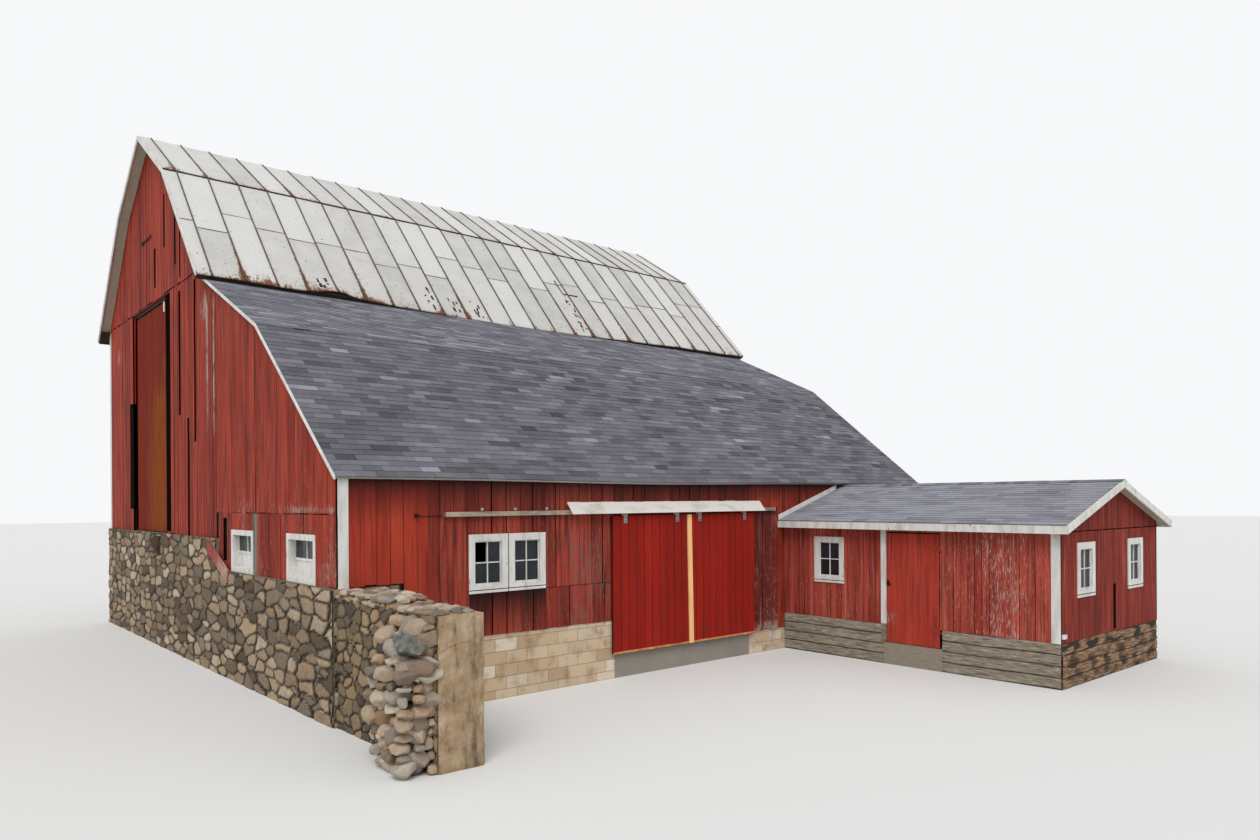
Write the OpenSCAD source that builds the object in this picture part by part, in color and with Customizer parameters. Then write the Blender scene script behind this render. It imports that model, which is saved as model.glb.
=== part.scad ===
// Red bank barn: an old gambrel barn under painted steel, a deep shingled lean-to along
// its front, and a low gabled wing. X runs along the front, Y from the front to the back,
// Z up. Heights are above the lowest ground that the walls meet.

/* [Barn] */
// Length of the barn along its front
barn_len = 14630; // [13400:10:16000]
// Depth of the whole barn, from the front wall to the back wall
barn_depth = 14630; // [14000:10:15400]
// Depth of the shingled lean-to, in front of the old barn
lean_depth = 6000; // [5700:10:6300]
// Thickness of the boarded walls with their girts
wall_t = 120; // [90:5:160]

/* [Steel roof] */
// Height of the ridge
ridge_z = 11330; // [11000:10:11700]
// Height of the break between the two slopes
break_z = 10000; // [9800:10:10200]
// Distance of the break from the ridge, level
break_run = 2100; // [1900:10:2300]
// Height of the eave edge
eave_z = 7400; // [7330:10:7500]
// Overhang of the eave past the walls
eave_over = 200; // [150:5:300]
// Overhang of the roof past the gable walls
rake_over = 240; // [150:5:350]
// Thickness of the roof deck with its steel, as the overhang shows
steel_deck_t = 45; // [30:5:60]
// Depth of the rafters under the deck
steel_rafter_h = 140; // [100:5:180]
// Number of rafters along each slope
rafter_count = 13; // [9:1:21]
// Width of a rafter
rafter_w = 60; // [40:5:80]

/* [Shingle roof] */
// Height of the eave edge over the front wall
lean_eave_z = 3460; // [3430:5:3520]
// Overhang of the eave past the front wall
lean_eave_over = 90; // [60:5:150]
// Distance of the break from the front wall
lean_break_y = 3100; // [2800:10:3400]
// Height of the break
lean_break_z = 6030; // [5800:10:6200]
// Height where the shingles end at the old barn
lean_top_z = 7350; // [7200:5:7350]
// Overhang of the shingles past the gable walls
lean_rake_over = 60; // [40:5:120]
// Thickness of the roof deck with its shingles, as the overhang shows
lean_deck_t = 40; // [25:5:60]
// Depth of the rafters under the deck
lean_rafter_h = 140; // [100:5:180]

/* [Foundations] */
// Height of the fieldstone wall under the old barn
stone_z = 2450; // [2400:10:2600]
// Height of the fieldstone wall under the gable end of the lean-to
stone_low_z = 1900; // [1800:10:2000]
// Where the siding of the gable end steps up, from the front wall
stone_step_y = 5300; // [5000:10:5600]
// Thickness of the fieldstone walls
stone_t = 510; // [450:10:700]
// How far the fieldstone stands out past the siding
stone_proud = 60; // [30:5:90]
// Height of the block wall under the front windows
block_z = 1020; // [900:10:1150]
// Thickness of the block walls
block_t = 200; // [190:5:300]
// Height of the low wall to the right of the sliding doors
low_wall_z = 440; // [420:5:500]
// Length of the fieldstone corner along the front
stone_return = 900; // [800:10:1100]

/* [Floors] */
// Top of the ground floor
ground_floor_z = 400; // [350:5:410]
// Thickness of the ground floor
ground_floor_t = 150; // [100:5:200]
// Top of the loft floor in the lean-to
loft_z = 2940; // [2930:5:3000]
// Thickness of the upper floors with their joists
floor_t = 180; // [120:5:180]

/* [Timbers] */
// Side of the square posts
post_w = 200; // [150:5:250]
// Number of posts along the old front line
post_count = 3; // [2:1:5]
// Height of the purlin beams
purlin_h = 220; // [180:5:260]

/* [Retaining wall] */
// Length out from the front wall
retaining_len = 2800; // [2000:10:4000]
// Thickness
retaining_t = 600; // [500:10:800]
// Height
retaining_z = 1790; // [1600:10:1900]
// Height of the heap of fallen stones on its left side
heap_z = 1700; // [1400:10:1750]
// How far the heap reaches out from the wall
heap_out = 450; // [300:10:600]
// Length of the heap along the wall
heap_len = 900; // [600:10:1200]
// Distance of the heap from the wall's end
heap_end_gap = 50; // [0:10:200]

/* [Sliding doors] */
// Left edge of the pair of doors
doors_x = 4860; // [4700:10:5000]
// Width of each door
leaf_w = 1845; // [1800:5:1870]
// Gap between the two doors
leaf_gap = 10; // [6:1:15]
// Thickness of each door
leaf_t = 40; // [30:1:50]
// Bottom of the doors
leaf_z = 430; // [420:5:450]
// Height of each door
leaf_h = 2400; // [2350:5:2420]
// Clearance between the doors and the wall
leaf_clear = 45; // [40:1:55]
// How far each door covers the wall beside the doorway
leaf_lap = 90; // [50:5:120]
// How far each door covers the wall over the doorway
leaf_top_lap = 90; // [80:5:120]
// Width of the pine strip over the joint between the doors
strip_w = 160; // [120:5:180]
// Thickness of the pine strip
strip_t = 19; // [16:1:25]
// Clearance between the pine strip and the right door
strip_clear = 6; // [5:1:10]

/* [Track] */
// Left end of the track
track_x = 1620; // [1500:10:1800]
// Length of the track
track_len = 7600; // [7500:10:7650]
// Width of the track
track_w = 60; // [56:1:70]
// Height of the track
track_h = 70; // [66:1:80]
// Thickness of the steel of the track
track_wall = 4; // [3:0.5:5]
// Width of the slot along the bottom of the track
track_slot = 20; // [18:1:24]
// Gap between the top of the doors and the track
track_gap = 40; // [36:1:45]
// Number of brackets that hold the track
bracket_count = 9; // [5:1:12]
// Width of each bracket along the track
bracket_w = 40; // [30:1:60]
// Diameter of the hanger wheels
wheel_d = 50; // [44:1:54]
// Distance between the two wheels of a hanger
wheel_pitch = 120; // [80:5:160]
// Distance of each hanger from the edge of its door
hanger_inset = 290; // [200:5:400]
// Width of the hanger straps
strap_w = 80; // [60:1:100]
// Thickness of the hanger straps
strap_t = 6; // [5:0.5:8]
// Length of the hanger straps on the face of the door
strap_h = 130; // [100:5:200]

/* [Hood] */
// Left end of the hood over the doors
hood_x = 3930; // [3800:10:4100]
// Length of the hood
hood_len = 4870; // [4700:10:4950]
// Height of the hood's top edge on the wall
hood_top_z = 3100; // [3090:5:3140]
// Height of the hood's lower edge
hood_low_z = 2875; // [2870:1:2880]
// How far the lower edge stands out from the wall
hood_out = 185; // [180:5:220]
// Thickness of the hood
hood_t = 15; // [10:1:18]

/* [Windows] */
// Left edge of the pair of front windows
front_window_x = 2050; // [1950:10:2200]
// Bottom of the front windows
front_window_z = 1680; // [1600:10:1750]
// Width of each front window over its casing
window_w = 705; // [680:5:730]
// Height of each front window over its casing
window_h = 910; // [880:5:940]
// Gap between the two front windows
window_gap = 22; // [20:1:40]
// Width of the casing boards
casing_w = 110; // [90:5:130]
// How far the casing stands out from the siding
casing_proud = 25; // [15:1:30]
// How far the casing covers the edge of the hole in the wall
casing_lap = 50; // [30:5:60]
// Thickness of the glass
glass_t = 4; // [3:0.5:6]
// Depth of the glass behind the siding
glass_set = 30; // [20:1:50]

/* [Cellar windows] */
// Near edge of the first cellar window, from the front wall
cellar_a_y = 730; // [700:10:800]
// Near edge of the second cellar window
cellar_b_y = 3420; // [3300:10:3500]
// Width of each cellar window over its casing
cellar_w = 1150; // [1050:10:1250]
// Height of each cellar window over its casing
cellar_h = 730; // [700:10:760]
// Width of the cellar window casing
cellar_casing = 90; // [60:5:110]
// Depth of the cellar sash behind the siding
cellar_set = 90; // [50:5:95]
// Height of the board panel under the cellar glass
cellar_panel_h = 230; // [200:10:260]
// Thickness of the board panels
cellar_panel_t = 20; // [15:1:25]

/* [Wagon door] */
// Front edge of the wagon doorway, from the front wall
wagon_y = 8960; // [8900:10:9200]
// Width of the wagon doorway
wagon_w = 3060; // [2900:10:3100]
// Height of the seam in the gable boards over the doorway
belt_z = 7600; // [7560:5:7640]
// Front edge of the door behind the wall
wagon_leaf_y = 8860; // [8850:5:8890]
// Width of the door
wagon_leaf_w = 3030; // [3000:5:3050]
// Gap over the door
wagon_top_gap = 115; // [115:5:150]
// Gap under the door
wagon_low_gap = 20; // [10:1:40]
// Thickness of the boards in front of the wagon door
wagon_board_t = 40; // [30:2:50]
// Gap between the door and the inside of the wall
wagon_clear = 12; // [8:1:20]
// Thickness of the door
wagon_leaf_t = 45; // [35:1:60]
// Length of the track inside the wall
wagon_track_len = 5400; // [5350:10:5440]
// Bottom of the missing boards beside the doorway
wagon_slot_z = 2970; // [2900:10:3100]
// Height of the missing boards
wagon_slot_h = 2530; // [2400:10:2600]
// Width of the missing boards
wagon_slot_w = 330; // [250:10:400]

/* [Damage] */
// Near edge of the slot left by the board missing from the lean-to
missing_y = 4820; // [4750:10:4900]
// Width of the missing board
missing_w = 210; // [150:10:240]
// Bottom of the slot
missing_z = 2070; // [2000:10:2150]
// Height of the slot
missing_h = 760; // [650:10:850]
// Length of the slipped board
slipped_len = 1300; // [1100:10:1500]
// Width of the slipped board
slipped_w = 180; // [150:5:220]
// Thickness of the slipped board
slipped_t = 25; // [20:1:30]
// Slope of the slipped board in degrees
slipped_angle = 19; // [10:1:30]

/* [Wing] */
// Left side of the wing, from the barn's near corner
wing_x = 9600; // [9500:10:9700]
// Width of the wing
wing_w = 4200; // [4000:10:4400]
// Length of the wing, out from the front wall
wing_len = 5640; // [5500:10:6000]
// Thickness of the wing's walls
wing_wall_t = 100; // [80:5:120]
// Height of the timber sills under the wing's siding
wing_sill_z = 740; // [700:5:800]
// Thickness of the timber sills
wing_sill_t = 200; // [180:5:250]
// Gap between the wing's ridge and the eave above it
wing_ridge_gap = 8; // [5:1:40]
// Height of the wing's eave edge
wing_eave_z = 2670; // [2650:5:2700]
// Overhang of the wing's eaves
wing_eave_over = 205; // [150:5:250]
// Overhang of the wing's end
wing_end_over = 185; // [150:5:250]
// Thickness of the wing's roof
wing_roof_t = 90; // [70:5:110]
// Thickness of fascia and rake boards
fascia_t = 25; // [18:1:30]
// Depth of the wing's fascia boards
fascia_h = 130; // [110:5:150]
// Depth of the flashing boards along the wing's roof
flash_h = 100; // [80:5:120]
// How far the fascia boards hang below the edge of the wing's roof
fascia_drop = 20; // [10:5:40]

/* [Wing door] */
// Distance of the wing doorway from the front wall
wing_door_y = 2440; // [2400:10:2480]
// Width of the wing doorway
wing_door_w = 1085; // [1050:5:1100]
// Bottom of the wing doorway
wing_door_z = 400; // [400:5:410]
// Top of the wing doorway
wing_door_top = 2460; // [2430:5:2470]
// Clearance round the wing door
wing_door_clear = 8; // [6:1:12]
// Thickness of the wing door
wing_door_t = 40; // [30:1:45]
// How far the wing door stands proud of the siding
wing_door_proud = 6; // [4:1:8]
// Radius of the hinge pins
pin_r = 8; // [6:0.5:9]
// Radial clearance of the hinge pins
pin_clear = 0.05; // [0.02:0.01:0.1]
// Radius of the hinge knuckles
knuckle_r = 14; // [13:0.5:16]
// Height of each hinge knuckle
knuckle_h = 60; // [40:1:80]
// Width of the threshold past each side of the doorway
threshold_lap = 50; // [30:5:80]

/* [Wing windows] */
// Distance of the side window from the front wall
side_window_y = 790; // [750:10:850]
// Bottom of the wing's windows
wing_window_z = 1440; // [1400:10:1480]
// Distance of the first end window from the wing's left side
end_window_a = 590; // [550:10:650]
// Distance of the second end window from the wing's left side
end_window_b = 2770; // [2700:10:2850]

/* [Trim] */
// Width of the corner boards
corner_w = 150; // [120:5:180]
// Thickness of the corner boards
corner_t = 25; // [20:1:30]
// Depth of the rake boards on the shingle roof
lean_rake_h = 50; // [45:5:120]
// Depth of the rake boards on the steel roof
rake_h = 80; // [70:5:160]
// Width of the white board beside the wing door
wing_strip_w = 110; // [90:5:120]

/* [Hidden] */
$fn = 32;

back_x = barn_len - wall_t;
ridge_y = (lean_depth + barn_depth) / 2;
eave_run = ridge_y - lean_depth + eave_over;
upper_slope = (ridge_z - break_z) / break_run;
lower_slope = (break_z - eave_z) / (eave_run - break_run);
lean_low_slope = (lean_break_z - lean_eave_z) / (lean_break_y + lean_eave_over);
lean_up_slope = (lean_top_z - lean_break_z) / (lean_depth - lean_break_y);
wing_half = wing_w / 2;
wing_ridge_z = lean_eave_z - plumb(lean_deck_t, lean_low_slope) - wing_ridge_gap;
wing_slope = (wing_ridge_z - wing_eave_z) / (wing_half + wing_eave_over);
wing_ridge_x = wing_x + wing_half;
wing_end_y = -wing_len;
wing_roof_y = wing_end_y - wing_end_over;

// Upright depth of a slab of thickness t on a slope
function plumb(t, slope) = t * sqrt(1 + slope * slope);

// Height of the steel roof at a distance d from the ridge, a thickness t below its top
function steel_bend(t) = break_run
    - (plumb(t, lower_slope) - plumb(t, upper_slope)) / (lower_slope - upper_slope);
function steel_at(d, t) = d < steel_bend(t)
    ? ridge_z - d * upper_slope - plumb(t, upper_slope)
    : break_z - (d - break_run) * lower_slope - plumb(t, lower_slope);

// Height of the shingle roof at a distance y from the front wall, t below its top
function lean_bend(t) = lean_break_y
    + (plumb(t, lean_low_slope) - plumb(t, lean_up_slope)) / (lean_low_slope - lean_up_slope);
function lean_at(y, t) = y < lean_bend(t)
    ? lean_break_z - (lean_break_y - y) * lean_low_slope - plumb(t, lean_low_slope)
    : lean_break_z + (y - lean_break_y) * lean_up_slope - plumb(t, lean_up_slope);

// Height of the walls under the two roof decks
seat_gap = 0.3;
function steel_seat(d) = steel_at(d, steel_deck_t) - seat_gap;
function lean_seat(y) = lean_at(y, lean_deck_t) - seat_gap;

steel_full_t = steel_deck_t + steel_rafter_h;
lean_full_t = lean_deck_t + lean_rafter_h;
front_run = ridge_y - lean_depth;
deck_bend = steel_bend(steel_deck_t);
rafter_bend = steel_bend(steel_full_t);
lean_deck_bend = lean_bend(lean_deck_t);
lean_rafter_bend = lean_bend(lean_full_t);

// Underside of the wing roof at a distance from its ridge, and the top of a wall under it
wing_plumb = plumb(wing_roof_t, wing_slope);
function wing_under(d) = wing_ridge_z - d * wing_slope - wing_plumb;
function wing_seat(d) = wing_under(d) - seat_gap;

// Distance from the ridge at which the top of the gable wall is at the belt seam
belt_d = break_run + (steel_seat(break_run) - belt_z) / lower_slope;

plate_low_z = lean_at(lean_depth, lean_full_t);
plate_top_z = steel_at(front_run, steel_full_t);
barn_floor_low = stone_z - floor_t;

leaf_y = -(leaf_clear + leaf_t);
doors_end_x = doors_x + 2 * leaf_w + leaf_gap;
doorway_x = doors_x + leaf_lap;
doorway_end_x = doors_end_x - leaf_lap;
doorway_top = leaf_z + leaf_h - leaf_top_lap;
track_y = -(leaf_clear + leaf_t / 2);
track_z = leaf_z + leaf_h + track_gap;
wheel_gap = 0.3;
stem_t = 8;
roller_play = 5;
stem_lap = 10;
track_end_gap = 20;
flash_seat = 10;

wagon_leaf_x = wagon_board_t + wagon_clear;
wagon_pocket_gap = 40;
wagon_leaf_z = stone_z + wagon_low_gap;
wagon_leaf_top = belt_z - wagon_top_gap;
wagon_track_z = wagon_leaf_top + track_gap;
wagon_track_x = wagon_leaf_x + wagon_leaf_t / 2;

// Y at which the track over the wagon door starts: its far end lies under the last rafters
wagon_track_end_d = break_run
    + (steel_at(break_run, steel_full_t) - wagon_track_z - track_h) / lower_slope;
wagon_track_y = ridge_y + wagon_track_end_d - track_end_gap - wagon_track_len;
wagon_pocket_y = min(wagon_leaf_y, wagon_track_y) - wagon_pocket_gap;

hinge_wall_gap = 6;
hinge_edge = 4;
hinge_inset = 300;
hinge_plate_t = 8;
hinge_x = wing_x - knuckle_r - hinge_wall_gap;
hinge_y = -(wing_door_y + wing_door_w) + hinge_edge;
hinge_heights = [wing_door_z + hinge_inset, wing_door_top - hinge_inset];

// A profile drawn in Y and Z, carried along X from x0 to x1
module along_x(x0, x1) {
    translate([x0, 0, 0])
        rotate([90, 0, 90])
            linear_extrude(x1 - x0)
                children();
}

// A profile drawn in X and Z, carried along Y from y0 to y1
module along_y(y0, y1) {
    translate([0, y1, 0])
        rotate([90, 0, 0])
            linear_extrude(y1 - y0)
                children();
}

// A block between two corners
module block(low, high) {
    translate(low)
        cube(high - low);
}

// Foundations

module near_stone_foundation() {
    color("darkkhaki")
        union() {
            block([-stone_proud, 0, 0], [stone_t - stone_proud, stone_step_y, stone_low_z]);
            block([-stone_proud, stone_step_y, 0], [stone_t - stone_proud, barn_depth, stone_z]);
            block([0, 0, 0], [stone_return, stone_t, stone_low_z]);
        }
}

module back_stone_foundation() {
    color("darkkhaki")
        block([stone_t - stone_proud, barn_depth - stone_t + stone_proud, 0],
            [barn_len - stone_t + stone_proud, barn_depth, stone_z]);
}

module far_stone_foundation() {
    color("darkkhaki")
        block([barn_len - stone_t + stone_proud, lean_depth, 0],
            [barn_len + stone_proud, barn_depth, stone_z]);
}

module block_foundation() {
    color("tan") {
        block([stone_return, 0, 0], [doorway_x, block_t, block_z]);
        union() {
            block([doorway_end_x, 0, 0], [barn_len, block_t, low_wall_z]);
            block([barn_len - block_t, 0, 0], [barn_len, lean_depth, low_wall_z]);
        }
    }
}

module retaining_wall() {
    color("gray")
        block([0, -retaining_len, 0], [retaining_t, 0, retaining_z]);
}

module fallen_stones() {
    far = -retaining_len + heap_end_gap;
    color("darkkhaki")
        along_y(far, far + heap_len)
            polygon([[0, 0], [0, heap_z], [-heap_out * 0.3, heap_z * 0.97],
                [-heap_out * 0.9, heap_z * 0.75], [-heap_out, 0]]);
}

// Floors

module ground_floor() {
    low = ground_floor_z - ground_floor_t;
    inner_x = stone_t - stone_proud;
    color("lightgray")
        union() {
            block([inner_x, stone_t, low],
                [barn_len - inner_x, barn_depth - inner_x, ground_floor_z]);
            block([stone_return, block_t, low],
                [barn_len - inner_x, stone_t, ground_floor_z]);
            block([barn_len - inner_x, block_t, low],
                [barn_len - block_t, lean_depth, ground_floor_z]);
            block([doorway_x, 0, 0], [doorway_end_x, block_t, ground_floor_z]);
        }
}

module loft_floor() {
    color("burlywood")
        block([wall_t, wall_t, loft_z - floor_t], [back_x, lean_depth, loft_z]);
}

module barn_floor() {
    inner = stone_t - stone_proud;
    color("burlywood")
        block([inner, lean_depth + post_w, barn_floor_low],
            [barn_len - inner, barn_depth - inner, stone_z]);
}

// Timber frame along the old front line

function post_x(i) = barn_len * i / (post_count + 1) - post_w / 2;

module inner_posts() {
    color("peru")
        for (i = [1 : post_count])
            block([post_x(i), lean_depth, ground_floor_z],
                [post_x(i) + post_w, lean_depth + post_w, plate_low_z]);
}

module inner_plate() {
    color("peru")
        block([wall_t, lean_depth, plate_low_z], [back_x, lean_depth + post_w, plate_top_z]);
}

module inner_girders() {
    inner = stone_t - stone_proud;
    starts = [for (i = [0 : post_count]) i == 0 ? inner : post_x(i) + post_w];
    ends = [for (i = [1 : post_count + 1]) i > post_count ? barn_len - inner : post_x(i)];
    color("peru")
        for (i = [0 : post_count])
            block([starts[i], lean_depth, barn_floor_low],
                [ends[i], lean_depth + post_w, stone_z]);
}

module purlin_beams() {
    color("peru")
        for (side = [-1, 1]) {
            top = steel_at(rafter_bend, steel_full_t) - seat_gap;
            z = steel_at(rafter_bend + post_w, steel_full_t) - seat_gap;
            along_x(wall_t, back_x)
                polygon([
                    [ridge_y + side * rafter_bend, top],
                    [ridge_y + side * (rafter_bend + post_w), z],
                    [ridge_y + side * (rafter_bend + post_w), z - purlin_h],
                    [ridge_y + side * rafter_bend, z - purlin_h]]);
        }
}

// Front wall

module front_wall_profile(low) {
    polygon([[0, low], [wall_t, low], [wall_t, lean_seat(wall_t)], [0, lean_seat(0)]]);
}

// The hole for a window, in the window's own frame
module window_hole() {
    block([casing_lap, -1, casing_lap],
        [window_w - casing_lap, wall_t + 1, window_h - casing_lap]);
}

module front_wall() {
    color("firebrick") {
        difference() {
            union() {
                along_x(wall_t, stone_return)
                    front_wall_profile(stone_low_z);
                along_x(stone_return, doorway_x)
                    front_wall_profile(block_z);
            }
            for (i = [0, 1])
                translate([front_window_x + i * (window_w + window_gap), 0, front_window_z])
                    window_hole();
        }
        along_x(doorway_end_x, back_x)
            front_wall_profile(low_wall_z);
    }
}

module front_wall_over_doors() {
    color("firebrick")
        along_x(doorway_x, doorway_end_x)
            front_wall_profile(doorway_top);
}

// Gable walls

module lean_gable_outline(low, step) {
    polygon([[0, low], [stone_step_y, low], [stone_step_y, step], [lean_depth, step],
        [lean_depth, lean_seat(lean_depth)], [lean_deck_bend, lean_seat(lean_deck_bend)],
        [0, lean_seat(0)]]);
}

module lean_to_gable() {
    color("firebrick")
        difference() {
            along_x(0, wall_t)
                lean_gable_outline(stone_low_z, stone_z);
            for (y = [cellar_a_y, cellar_b_y])
                block([-1, y + cellar_casing / 2, stone_low_z + cellar_casing / 2],
                    [wall_t + 1, y + cellar_w - cellar_casing / 2,
                        stone_low_z + cellar_h - cellar_casing / 2]);
            block([-1, missing_y, missing_z],
                [wall_t + 1, missing_y + missing_w, missing_z + missing_h]);
        }
}

// The room that the wagon door hangs and slides in, behind the boards of the gable
module wagon_pocket() {
    block([wagon_board_t, wagon_pocket_y, stone_z - 1],
        [wall_t + 1, barn_depth - wall_t, belt_z + 1]);
}

module gable_wall() {
    side = wagon_y + wagon_w;
    color("firebrick") {
        difference() {
            along_x(0, wall_t)
                polygon([[lean_depth, stone_z], [wagon_y, stone_z], [wagon_y, belt_z],
                    [ridge_y - belt_d, belt_z], [lean_depth, steel_seat(front_run)]]);
            wagon_pocket();
        }
        difference() {
            along_x(0, wall_t)
                polygon([[side, stone_z], [barn_depth, stone_z],
                    [barn_depth, steel_seat(front_run)],
                    [ridge_y + belt_d, belt_z], [side, belt_z],
                    [side, wagon_slot_z + wagon_slot_h],
                    [side + wagon_slot_w, wagon_slot_z + wagon_slot_h],
                    [side + wagon_slot_w, wagon_slot_z],
                    [side, wagon_slot_z]]);
            wagon_pocket();
        }
    }
}

module gable_wall_top() {
    color("firebrick")
        along_x(0, wall_t)
            polygon([[ridge_y - belt_d, belt_z], [ridge_y + belt_d, belt_z],
                [ridge_y + deck_bend, steel_seat(deck_bend)], [ridge_y, steel_seat(0)],
                [ridge_y - deck_bend, steel_seat(deck_bend)]]);
}

module far_lean_to_gable() {
    color("firebrick")
        along_x(back_x, barn_len)
            lean_gable_outline(low_wall_z, low_wall_z);
}

module far_gable() {
    color("firebrick")
        along_x(back_x, barn_len)
            polygon([[lean_depth, stone_z], [barn_depth, stone_z],
                [barn_depth, steel_seat(front_run)],
                [ridge_y + deck_bend, steel_seat(deck_bend)], [ridge_y, steel_seat(0)],
                [ridge_y - deck_bend, steel_seat(deck_bend)],
                [lean_depth, steel_seat(front_run)]]);
}

module back_wall() {
    color("firebrick")
        along_x(wall_t, back_x)
            polygon([[barn_depth - wall_t, stone_z], [barn_depth, stone_z],
                [barn_depth, steel_seat(front_run)],
                [barn_depth - wall_t, steel_seat(front_run - wall_t)]]);
}

// Roofs: a deck that overhangs the walls, on rafters that stop inside them

// The rafters of one slope, each with the profile that follows
module rafters() {
    step = (back_x - wall_t - rafter_w) / (rafter_count - 1);
    for (i = [0 : rafter_count - 1])
        along_x(wall_t + i * step, wall_t + i * step + rafter_w)
            children();
}

module shingle_roof_lower() {
    color("dimgray")
        union() {
            along_x(-lean_rake_over, barn_len + lean_rake_over)
                polygon([[-lean_eave_over, lean_at(-lean_eave_over, 0)],
                    [lean_break_y, lean_break_z],
                    [lean_deck_bend, lean_at(lean_deck_bend, lean_deck_t)],
                    [-lean_eave_over, lean_at(-lean_eave_over, lean_deck_t)]]);
            rafters()
                polygon([[wall_t, lean_at(wall_t, lean_deck_t / 2)],
                    [lean_deck_bend, lean_at(lean_deck_bend, lean_deck_t)],
                    [lean_rafter_bend, lean_at(lean_rafter_bend, lean_full_t)],
                    [wall_t, lean_at(wall_t, lean_full_t)]]);
        }
}

module shingle_roof_upper() {
    color("dimgray")
        union() {
            along_x(-lean_rake_over, barn_len + lean_rake_over)
                polygon([[lean_break_y, lean_break_z], [lean_depth, lean_top_z],
                    [lean_depth, lean_at(lean_depth, lean_deck_t)],
                    [lean_deck_bend, lean_at(lean_deck_bend, lean_deck_t)]]);
            rafters()
                polygon([[lean_deck_bend, lean_at(lean_deck_bend, lean_deck_t)],
                    [lean_depth, lean_at(lean_depth, lean_deck_t / 2)],
                    [lean_depth, lean_at(lean_depth, lean_full_t)],
                    [lean_rafter_bend, lean_at(lean_rafter_bend, lean_full_t)]]);
        }
}

// One slope of the steel roof's lower part; side is -1 at the front and 1 at the back
module steel_roof_lower(side) {
    foot = side < 0 ? front_run : front_run - wall_t;
    color("gainsboro")
        union() {
            along_x(-rake_over, barn_len + rake_over)
                polygon([[ridge_y + side * break_run, break_z],
                    [ridge_y + side * eave_run, eave_z],
                    [ridge_y + side * eave_run, steel_at(eave_run, steel_deck_t)],
                    [ridge_y + side * deck_bend, steel_at(deck_bend, steel_deck_t)]]);
            rafters()
                polygon([[ridge_y + side * deck_bend, steel_at(deck_bend, steel_deck_t)],
                    [ridge_y + side * foot, steel_at(foot, steel_deck_t / 2)],
                    [ridge_y + side * foot, steel_at(foot, steel_full_t)],
                    [ridge_y + side * rafter_bend, steel_at(rafter_bend, steel_full_t)]]);
        }
}

module steel_roof_upper(side) {
    color("gainsboro")
        union() {
            along_x(-rake_over, barn_len + rake_over)
                polygon([[ridge_y, ridge_z], [ridge_y + side * break_run, break_z],
                    [ridge_y + side * deck_bend, steel_at(deck_bend, steel_deck_t)],
                    [ridge_y, steel_at(0, steel_deck_t)]]);
            rafters()
                polygon([[ridge_y, steel_at(0, steel_deck_t / 2)],
                    [ridge_y + side * deck_bend, steel_at(deck_bend, steel_deck_t)],
                    [ridge_y + side * rafter_bend, steel_at(rafter_bend, steel_full_t)],
                    [ridge_y, steel_at(0, steel_full_t)]]);
        }
}

module steel_roof_front_lower() {
    steel_roof_lower(-1);
}

module steel_roof_front_upper() {
    steel_roof_upper(-1);
}

module steel_roof_back_upper() {
    steel_roof_upper(1);
}

module steel_roof_back_lower() {
    steel_roof_lower(1);
}

// Trim

module steel_rake_outline() {
    polygon([[ridge_y - eave_run, eave_z], [ridge_y - break_run, break_z], [ridge_y, ridge_z],
        [ridge_y + break_run, break_z], [ridge_y + eave_run, eave_z],
        [ridge_y + eave_run, eave_z - rake_h],
        [ridge_y + break_run, break_z - rake_h], [ridge_y, ridge_z - rake_h],
        [ridge_y - break_run, break_z - rake_h], [ridge_y - eave_run, eave_z - rake_h]]);
}

module lean_rake_outline() {
    polygon([[-lean_eave_over, lean_eave_z], [lean_break_y, lean_break_z],
        [lean_depth, lean_top_z], [lean_depth, lean_top_z - lean_rake_h],
        [lean_break_y, lean_break_z - lean_rake_h], [-lean_eave_over, lean_eave_z - lean_rake_h]]);
}

module rake_boards() {
    color("white") {
        along_x(-rake_over - fascia_t, -rake_over)
            steel_rake_outline();
        along_x(barn_len + rake_over, barn_len + rake_over + fascia_t)
            steel_rake_outline();
        along_x(-lean_rake_over - fascia_t, -lean_rake_over)
            lean_rake_outline();
        along_x(barn_len + lean_rake_over, barn_len + lean_rake_over + fascia_t)
            lean_rake_outline();
    }
}

// Where the wing's roof reaches the far corner, the board there stands on its flashing
module corner_boards() {
    far_d = barn_len - corner_w - wing_ridge_x;
    flash_top = wing_ridge_z - far_d * wing_slope + flash_seat + flash_h;
    far_low = far_d < wing_half + wing_eave_over ? flash_top : low_wall_z;
    top = lean_seat(-corner_t);
    back_top = steel_seat(front_run);
    color("white") {
        block([0, -corner_t, stone_low_z], [corner_w, 0, top]);
        block([-corner_t, barn_depth - corner_w, stone_z], [0, barn_depth, back_top]);
        block([barn_len - corner_w, -corner_t, far_low], [barn_len, 0, top]);
        block([wing_x - corner_t, wing_end_y, wing_sill_z],
            [wing_x, wing_end_y + corner_w, wing_seat(wing_half + corner_t)]);
        block([wing_x - corner_t, -wing_door_y, wing_sill_z],
            [wing_x, -wing_door_y + wing_strip_w, wing_seat(wing_half + corner_t)]);
    }
}

module slipped_board() {
    color("firebrick")
        translate([-stone_proud - slipped_t, stone_step_y - slipped_w, stone_low_z])
            rotate([slipped_angle, 0, 0])
                cube([slipped_t, slipped_len, slipped_w]);
}

// Windows: a casing ring on the siding and a jamb ring through the wall, in one piece

module window_frame(wall) {
    lap = casing_lap;
    edge = casing_w;
    difference() {
        union() {
            block([0, -casing_proud, 0], [window_w, 0, window_h]);
            block([lap, 0, lap], [window_w - lap, wall, window_h - lap]);
        }
        block([edge, -casing_proud - 1, edge], [window_w - edge, wall + 1, window_h - edge]);
    }
}

// Turns a window made for the front wall to face the left, its left edge at y
module facing_left(x, y, z) {
    translate([x, y, z])
        rotate([0, 0, -90])
            children();
}

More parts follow.
